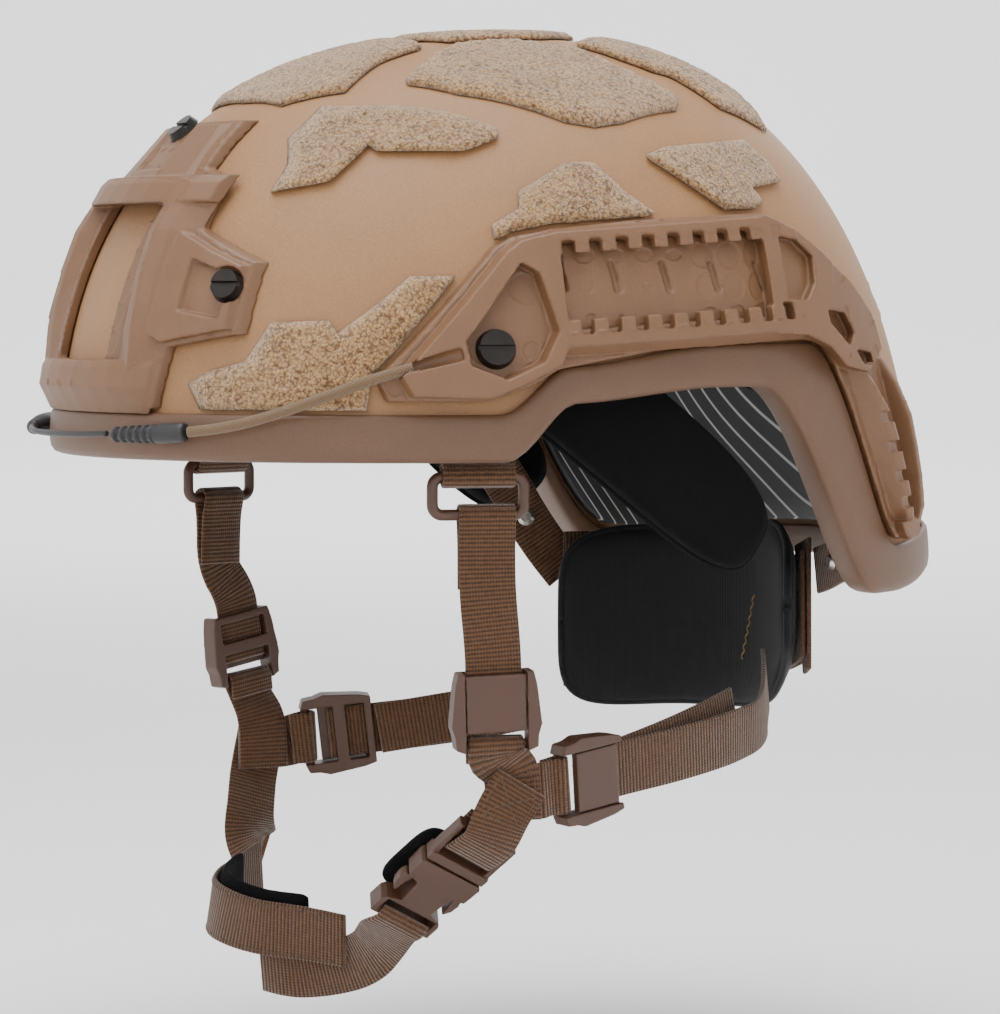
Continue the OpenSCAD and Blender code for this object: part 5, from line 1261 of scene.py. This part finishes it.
def web_piece(dome, name, wave_size, body=BASE_BODY, width=None):
    """Makes all runs of one node as one piece of webbing and keeps the runs for the stitching."""
    runs = [Strip(path, width or dome.web_w, dome.web_t, wave_size) for path in routes(dome)[name]]
    strips[name] = runs
    return add_part(name + "_woven", merged([r.part() for r in runs]), "webbing", [name], body)


class HELMET_OT_hangers(Operator):
    """Makes the two folded webbing hangers"""
    bl_idname = "helmet.hangers"
    bl_label = "Hangers"

    def execute(self, context):
        dome = Dome(context.scene)
        for side in ("left", "right"):
            web_piece(dome, f"{side}_hanger", 0.0, width=dome.hanger_w)
        return {"FINISHED"}


class HELMET_OT_straps(Operator):
    """Makes the front and rear harness straps"""
    bl_idname = "helmet.straps"
    bl_label = "Harness straps"

    def execute(self, context):
        dome = Dome(context.scene)
        for name in ("left_front_strap", "right_front_strap", "left_rear_strap", "right_rear_strap"):
            web_piece(dome, name, 0.05)
        return {"FINISHED"}


# Nape pad

NAPE_C = (9, 18)
NAPE_TURN = 25
NAPE_Z = -162
NAPE_SPAN = 112
NEAR_SHARE = 0.62
NEAR_LIFT = 10
NAPE_ARCH = 5
NAPE_CORNER = 0.42
# Thickness of the bound edge, and gap between the nape pad and its backing
BINDING_D = 2.6
BACKING_GAP = 0.4


def nape_pt(dome, ang, z, off):
    """A place on the pad's curve: degrees round it, height and offset from its middle."""
    q = np.radians(90 + NAPE_TURN + np.asarray(ang, float))
    r = dome.nape_r + np.asarray(off, float)
    lift = NEAR_LIFT * ramp(-np.asarray(ang, float), 8, NAPE_SPAN / 2)
    return np.stack(np.broadcast_arrays(NAPE_C[0] + r * np.cos(q), NAPE_C[1] + r * np.sin(q), z + lift), -1)


def nape_place(dome, rho, angle, off):
    """A place on the pad: share of the way to its rim, and angle round its middle."""
    half = NAPE_SPAN / 2
    a = half * rho * squared(np.cos(angle), NAPE_CORNER)
    b = rho * squared(np.sin(angle), NAPE_CORNER)
    arch = np.where(b < 0, NAPE_ARCH * (1 - (a / half) ** 2) * -b, 0)
    share = 1 - (1 - NEAR_SHARE) * ramp(-a / half, 0.45, 1)
    z = NAPE_Z + dome.nape_h / 2 * b * share + arch
    return nape_pt(dome, a, z, off), a, z


def nape_part(dome):
    """The smooth pad round the neck and its bound edge."""
    cols, rows = 160, 20
    angle = np.arange(cols) * 2 * math.pi / cols
    half_t = dome.nape_t / 2
    profile = [(0.95 * i / rows, -1.0) for i in range(1, rows)]
    profile += [(0.975, -0.8), (0.995, -0.4), (1.0, 0.0), (0.995, 0.4), (0.975, 0.8)]
    profile += [(0.95 * i / rows, 1.0) for i in range(rows - 1, 0, -1)]
    rings, uv = [], []
    for rho, share in profile:
        off = half_t * share * (1 - 0.4 * (rho / 0.95) ** 6 if abs(share) == 1 else 0.6)
        spots, a, z = nape_place(dome, rho, angle, off)
        rings.append(spots)
        uv += [[p * math.pi / 180 * dome.nape_r * MM, q * MM] for p, q in zip(a, z)]
    poles = [nape_place(dome, 0, angle[:1], off)[0] for off in (-half_t, half_t)]
    pad = (np.concatenate([*rings, *poles]), poled_faces(len(rings), cols), uv + [[0, NAPE_Z * MM]] * 2)
    edge = nape_place(dome, 1.0, np.append(angle, angle[0]), 0.0)[0]
    return merged([pad, cord_part(edge, BINDING_D, 10, 2.0)])


class HELMET_OT_nape(Operator):
    """Makes the nape pad, its woven backing, its tabs and its zigzag stitching"""
    bl_idname = "helmet.nape"
    bl_label = "Nape pad"

    def execute(self, context):
        dome = Dome(context.scene)
        pad = add_part("nape_pad_cover", nape_part(dome), "knit", ["nape_pad"])
        half = NAPE_SPAN / 2
        tall = dome.nape_h / 2
        low = NEAR_SHARE * tall
        back = dome.nape_t / 2 + BACKING_GAP + dome.web_t / 2
        layer = dome.web_t + LAYER_GAP
        bands = [(-half + 4, half - 4, NAPE_Z - low + 2, NAPE_Z + low - 2, back),
                 (-half * 0.55, half - 4, NAPE_Z - tall + 14, NAPE_Z + tall - 6, back + layer),
                 (-half + 3, -half + 19, NAPE_Z - low - 2, NAPE_Z + low + 2, back + layer),
                 (half - 20, half - 3, NAPE_Z - tall + 8, NAPE_Z + tall - 2, back + 2 * layer)]
        parts = []
        for a0, a1, z0, z1, off in bands:
            steps = max(2, int(abs(a1 - a0) / 3))
            path = [(nape_pt(dome, a0 + (a1 - a0) * i / steps, (z0 + z1) / 2, off), (0, 0, 1))
                    for i in range(steps + 1)]
            parts.append(Strip(path, z1 - z0, dome.web_t, 0.0).part())
        add_part("nape_backing_woven", merged(parts), "webbing", ["nape_backing"])
        for side in ("left", "right"):
            web_piece(dome, f"{side}_nape_tab", 0.0, width=dome.web_w - 2)
        zigzag = []
        steps = 14
        for k in range(steps):
            places = []
            for i in (k, k + 1):
                lean = -25 + 8 * i / steps + (1.6 if i % 2 else 0)
                places.append(nape_pt(dome, lean, NAPE_Z + 8 - 20 * i / steps, -dome.nape_t / 2 - 0.05))
            zigzag.append(stitch_part(*places, dome.thread_d * 1.1))
        add_part("nape_zigzag_stitches", merged(zigzag)[:2], "thread_tan")
        return {"FINISHED"}


# Chin strap and cup

# Thickness of the lining, its gap to the cup and how far it stands above the cup's middle
LINING_T = 2.6
LINING_GAP = 1.3
LINING_UP = 4
# Corners of the soft pieces at the chin, as powers for squared()
CORNER = 0.5
LINING_EDGE = 0.7
# Half sizes of the guard, where its middle lies from the buckle's, how far it stands back, its thickness
GUARD_HALF = (9, 13.5)
GUARD_MIDDLE = (-4, -7.5)
GUARD_BACK = -6.8
GUARD_T = 1.8


def lining_part(dome):
    """The soft lining inside the chin cup, a little above it, with rounded edges and ends."""
    inset = (dome.web_t + LINING_T) / 2 + LINING_GAP
    path = []
    for i in range(2, len(CUP_ROUTE) - 1):
        w = unit(CUP_ROUTE[i][1])
        u = unit(np.cross(unit(np.subtract(CUP_ROUTE[i + 1][0], CUP_ROUTE[i - 1][0])), w))
        path.append((np.array(CUP_ROUTE[i][0]) - inset * u + LINING_UP * w, w))
    lining = Strip(path, dome.web_w - 2, LINING_T, 0.25, 1.0)
    w, t = lining.width / 2, LINING_T / 2
    turns = [2 * math.pi * k / 24 for k in range(24)]
    profile = [(w * squared(math.cos(q), CORNER), t * squared(math.sin(q), LINING_EDGE)) for q in turns]
    ends = np.minimum(1, np.minimum(lining.run + 0.6, lining.run[-1] - lining.run + 0.6) / 3) ** 0.5
    rings = [[lining.centre[i] + (w - 1.5 + 1.5 * e) / w * a * lining.across[i] + e * b * lining.up[i]
              for a, b in profile] for i, e in enumerate(ends)]
    return tube_part(rings, [[s * MM, a * MM] for s in lining.run for a, _ in profile])


def guard_part():
    """The soft guard behind the buckle: a flat pad with rounded corners."""
    x, y, z = hanging(BUCKLE)
    x = unit(x - np.dot(x, y) * y)
    z = np.cross(x, y)
    cols, rows = 72, 8
    profile = [(i / rows, 0.0) for i in range(1, rows)] + [(0.99, 0.15), (1.0, 0.5), (0.99, 0.85)]
    profile += [(i / rows, 1.0) for i in range(rows - 1, 0, -1)]
    rings, uv = [], []
    for rho, depth in profile:
        ring = []
        for k in range(cols):
            q = 2 * math.pi * k / cols
            a = GUARD_HALF[0] * rho * squared(math.cos(q), CORNER) + GUARD_MIDDLE[0]
            b = GUARD_HALF[1] * rho * squared(math.sin(q), CORNER) + GUARD_MIDDLE[1]
            ring.append(np.array(BUCKLE[0], float) + a * x + b * y + (GUARD_BACK + GUARD_T * depth) * z)
            uv.append([a * MM, b * MM])
        rings.append(ring)
    return tube_part(rings, uv)


class HELMET_OT_chin(Operator):
    """Makes the chin straps, the chin cup, its lining and the guard behind the buckle"""
    bl_idname = "helmet.chin"
    bl_label = "Chin strap and cup"

    def execute(self, context):
        dome = Dome(context.scene)
        web_piece(dome, "chin_strap_left", 0.04)
        right = web_piece(dome, "chin_strap_right", 0.04, None)
        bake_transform(right)
        web_piece(dome, "chin_cup", 0.05, "chin")
        pad = add_part("chin_pad_lining", lining_part(dome), "fleece", ["chin_pad"], "chin")
        add_part("chin_guard_cover", guard_part(), "fleece", ["chin_loop_tab"], "chin")
        return {"FINISHED"}


class HELMET_OT_buckle(Operator):
    """Makes the side-release chin buckle with its two prongs"""
    bl_idname = "helmet.buckle"
    bl_label = "Chin buckle"

    def execute(self, context):
        for name, body in (("buckle_socket", "chin"), ("buckle_plug", "helmet"),
                           ("buckle_prong_upper", "prong_upper"), ("buckle_prong_lower", "prong_lower")):
            moulded(name, "acetal", "brown_plastic", 0.3, 3, body)
        return {"FINISHED"}


# From one stitch to the next, and length of a stitch
STITCH_PITCH = 2.3
STITCH_L = 1.7
# Half the size across of a sewn box, of the rows on a hanger and of the rows on the chin cup
BOX_HALF = 6.5
HANGER_ROW = 9.5
CUP_ROW = 7.2


class HELMET_OT_stitching(Operator):
    """Sews the webbing: rows across the hangers and boxes with a cross on the joints"""
    bl_idname = "helmet.stitching"
    bl_label = "Stitching"

    def execute(self, context):
        dome = Dome(context.scene)
        parts = []

        def line(strip, side, s0, v0, s1, v1):
            steps = max(2, int(math.hypot(s1 - s0, v1 - v0)))
            points = [strip.at(s0 + (s1 - s0) * i / steps, v0 + (v1 - v0) * i / steps, side)
                      for i in range(steps + 1)]
            return stitches_along(points, STITCH_PITCH, STITCH_L, dome.thread_d)
        for name in ("left_hanger", "right_hanger"):
            strip = strips[name][0]
            end = strip.run[-1]
            side = strip.outer_side(end - 6, HEAD_AXIS)
            for s in (3.2, 4.1, 5.0, 8.5):
                parts += line(strip, side, end - s, -HANGER_ROW, end - s, HANGER_ROW)
        for name, index, at_end in (("left_front_strap", 1, True), ("left_rear_strap", 0, True),
                                    ("right_front_strap", 1, True), ("chin_strap_left", 0, False),
                                    ("chin_strap_right", 0, False), ("right_rear_strap", 0, True)):
            strip = strips[name][index]
            end = strip.run[-1]
            s0, s1 = (end - 13, end - 1.5) if at_end else (1.5, 13)
            side = strip.outer_side((s0 + s1) / 2, HEAD_AXIS)
            h = BOX_HALF
            for a, b, c, d in ((s0, -h, s1, -h), (s1, -h, s1, h), (s1, h, s0, h), (s0, h, s0, -h),
                               (s0, -h, s1, h), (s0, h, s1, -h)):
                parts += line(strip, side, a, b, c, d)
        for name in ("left_front_strap", "right_front_strap"):
            strip = strips[name][0]
            side = strip.outer_side(14, HEAD_AXIS)
            for s in (30, 31.2):
                parts += line(strip, side, s, -BOX_HALF, s, BOX_HALF)
        add_part("webbing_stitches", merged(parts)[:2], "thread_brown")
        cup = strips["chin_cup"][0]
        side = cup.outer_side(cup.run[-1] / 2, (0, -60, -245))
        rows = []
        for v in (-CUP_ROW, CUP_ROW):
            rows += line(cup, side, 2, v, cup.run[-1] - 2, v)
        add_part("chin_cup_stitches", merged(rows)[:2], "thread_brown", body="chin")
        return {"FINISHED"}


# Stage: camera at the photograph's angle, pale floor, soft lights

CAMERA_PLACE = (1.21656, -0.58472, -0.05081)
CAMERA_AZIMUTH = 65.0
CAMERA_ELEVATION = 3.0
FOCAL_PX = 4222.0
IMAGE_H = 1014.0
FLOOR_Z = -0.30


class HELMET_OT_stage(Operator):
    """Sets the camera, the pale floor with its curved backdrop and the studio lights"""
    bl_idname = "helmet.stage"
    bl_label = "Stage"

    def execute(self, context):
        scene = context.scene
        az, el = math.radians(CAMERA_AZIMUTH), math.radians(CAMERA_ELEVATION)
        back = Vector((math.sin(az) * math.cos(el), -math.cos(az) * math.cos(el), math.sin(el)))
        right = Vector((math.cos(az), math.sin(az), 0))
        up = back.cross(right)
        lens = bpy.data.cameras.new("photo_camera")
        lens.sensor_width = 36
        lens.lens = FOCAL_PX / IMAGE_H * lens.sensor_width
        lens.clip_start, lens.clip_end = 0.05, 50
        camera = bpy.data.objects.new("photo_camera", lens)
        x, y, z = CAMERA_PLACE
        camera.matrix_world = Matrix(((right.x, up.x, back.x, x), (right.y, up.y, back.y, y),
                                      (right.z, up.z, back.z, z), (0, 0, 0, 1)))
        scene.collection.objects.link(camera)
        scene.camera = camera
        # Painted paper sweep: plain, pale and matt
        paper = start_material("paper_sweep", 0.95, Base_Color=linear("f2f2f2"), Specular_IOR_Level=0.1)[0]
        rings = 72
        radii = [0.01, 1.5, 3.0, 4.2, 5.0, 5.6, 5.95, 6.1, 6.15, 6.15]
        heights = [0.0, 0.0, 0.0, 0.05, 0.25, 0.7, 1.4, 2.4, 3.6, 6.0]
        points = [(r * math.cos(2 * math.pi * k / rings) / MM, r * math.sin(2 * math.pi * k / rings) / MM,
                   (FLOOR_Z + h) / MM) for r, h in zip(radii, heights) for k in range(rings)]
        faces = grid_faces(len(radii), rings) + [list(range(rings))]
        sweep = add_piece("studio_sweep", mesh_of("studio_sweep", points, faces), paper, body=None)
        world = bpy.data.worlds.new("soft_room")
        world.use_nodes = True
        world.node_tree.nodes["Background"].inputs[0].default_value = (1, 1, 1, 1)
        world.node_tree.nodes["Background"].inputs[1].default_value = 0.45
        scene.world = world
        target = (0, 0, -0.08)
        # Name, place, size in metres, power in watts and the point that each light looks at
        lights = [("top_softbox", (0.15, -0.2, 1.5), 1.5, 46, target),
                  ("key_softbox", (0.7, -1.7, 1.0), 1.0, 8, target),
                  ("side_softbox", (2.1, 0.2, 0.5), 1.2, 3, target),
                  ("rear_softbox", (-1.2, 1.6, 1.1), 1.2, 11, target)]
        for i in range(4):
            turn = math.radians(CAMERA_AZIMUTH + 90 + 90 * i)
            x, y = math.cos(turn), math.sin(turn)
            lights.append((f"sweep_light_{i}", (2.6 * x, 2.6 * y, 2.2), 1.6, 130, (5.6 * x, 5.6 * y, 0.2)))
        for name, place, size, power, aim_at in lights:
            light = bpy.data.lights.new(name, "AREA")
            light.shape = "SQUARE"
            light.size = size
            light.energy = power
            lamp = bpy.data.objects.new(name, light)
            lamp.location = place
            aim = Vector(aim_at) - Vector(place)
            lamp.rotation_euler = aim.to_track_quat("-Z", "Y").to_euler()
            lamp.visible_camera = False
            scene.collection.objects.link(lamp)
        return {"FINISHED"}


OPERATORS = (HELMET_OT_stage, HELMET_OT_shell, HELMET_OT_trim, HELMET_OT_liner, HELMET_OT_pads,
             HELMET_OT_patches, HELMET_OT_shroud, HELMET_OT_rails, HELMET_OT_screws, HELMET_OT_bungees,
             HELMET_OT_rings, HELMET_OT_adjusters, HELMET_OT_hangers, HELMET_OT_straps, HELMET_OT_nape,
             HELMET_OT_chin, HELMET_OT_buckle, HELMET_OT_stitching)


class HELMET_PT_panel(Panel):
    """Lists the helmet's sizes, colours and pieces"""
    bl_idname = "HELMET_PT_panel"
    bl_label = "Combat helmet"
    bl_space_type = "VIEW_3D"
    bl_region_type = "UI"
    bl_category = "Helmet"

    def draw(self, context):
        layout = self.layout
        scene = context.scene
        for group in (scene.helmet_sizes, scene.helmet_fullness, scene.helmet_colours):
            box = layout.box()
            for key in group.bl_rna.properties.keys():
                if key not in ("rna_type", "name"):
                    box.prop(group, key)
        for operator in OPERATORS:
            layout.operator(operator.bl_idname)


GROUPS = (("helmet_sizes", HelmetSizes), ("helmet_fullness", HelmetFullness),
          ("helmet_colours", HelmetColours))


def register():
    for name, group in GROUPS:
        bpy.utils.register_class(group)
        setattr(bpy.types.Scene, name, PointerProperty(type=group))
    for cls in (*OPERATORS, HELMET_PT_panel):
        bpy.utils.register_class(cls)


def unregister():
    for cls in reversed((*OPERATORS, HELMET_PT_panel)):
        bpy.utils.unregister_class(cls)
    for name, group in reversed(GROUPS):
        delattr(bpy.types.Scene, name)
        bpy.utils.unregister_class(group)


def main():
    register()
    make_materials(bpy.context.scene)
    for operator in OPERATORS:
        group, name = operator.bl_idname.split(".")
        getattr(getattr(bpy.ops, group), name)()


if __name__ == "__main__":
    main()
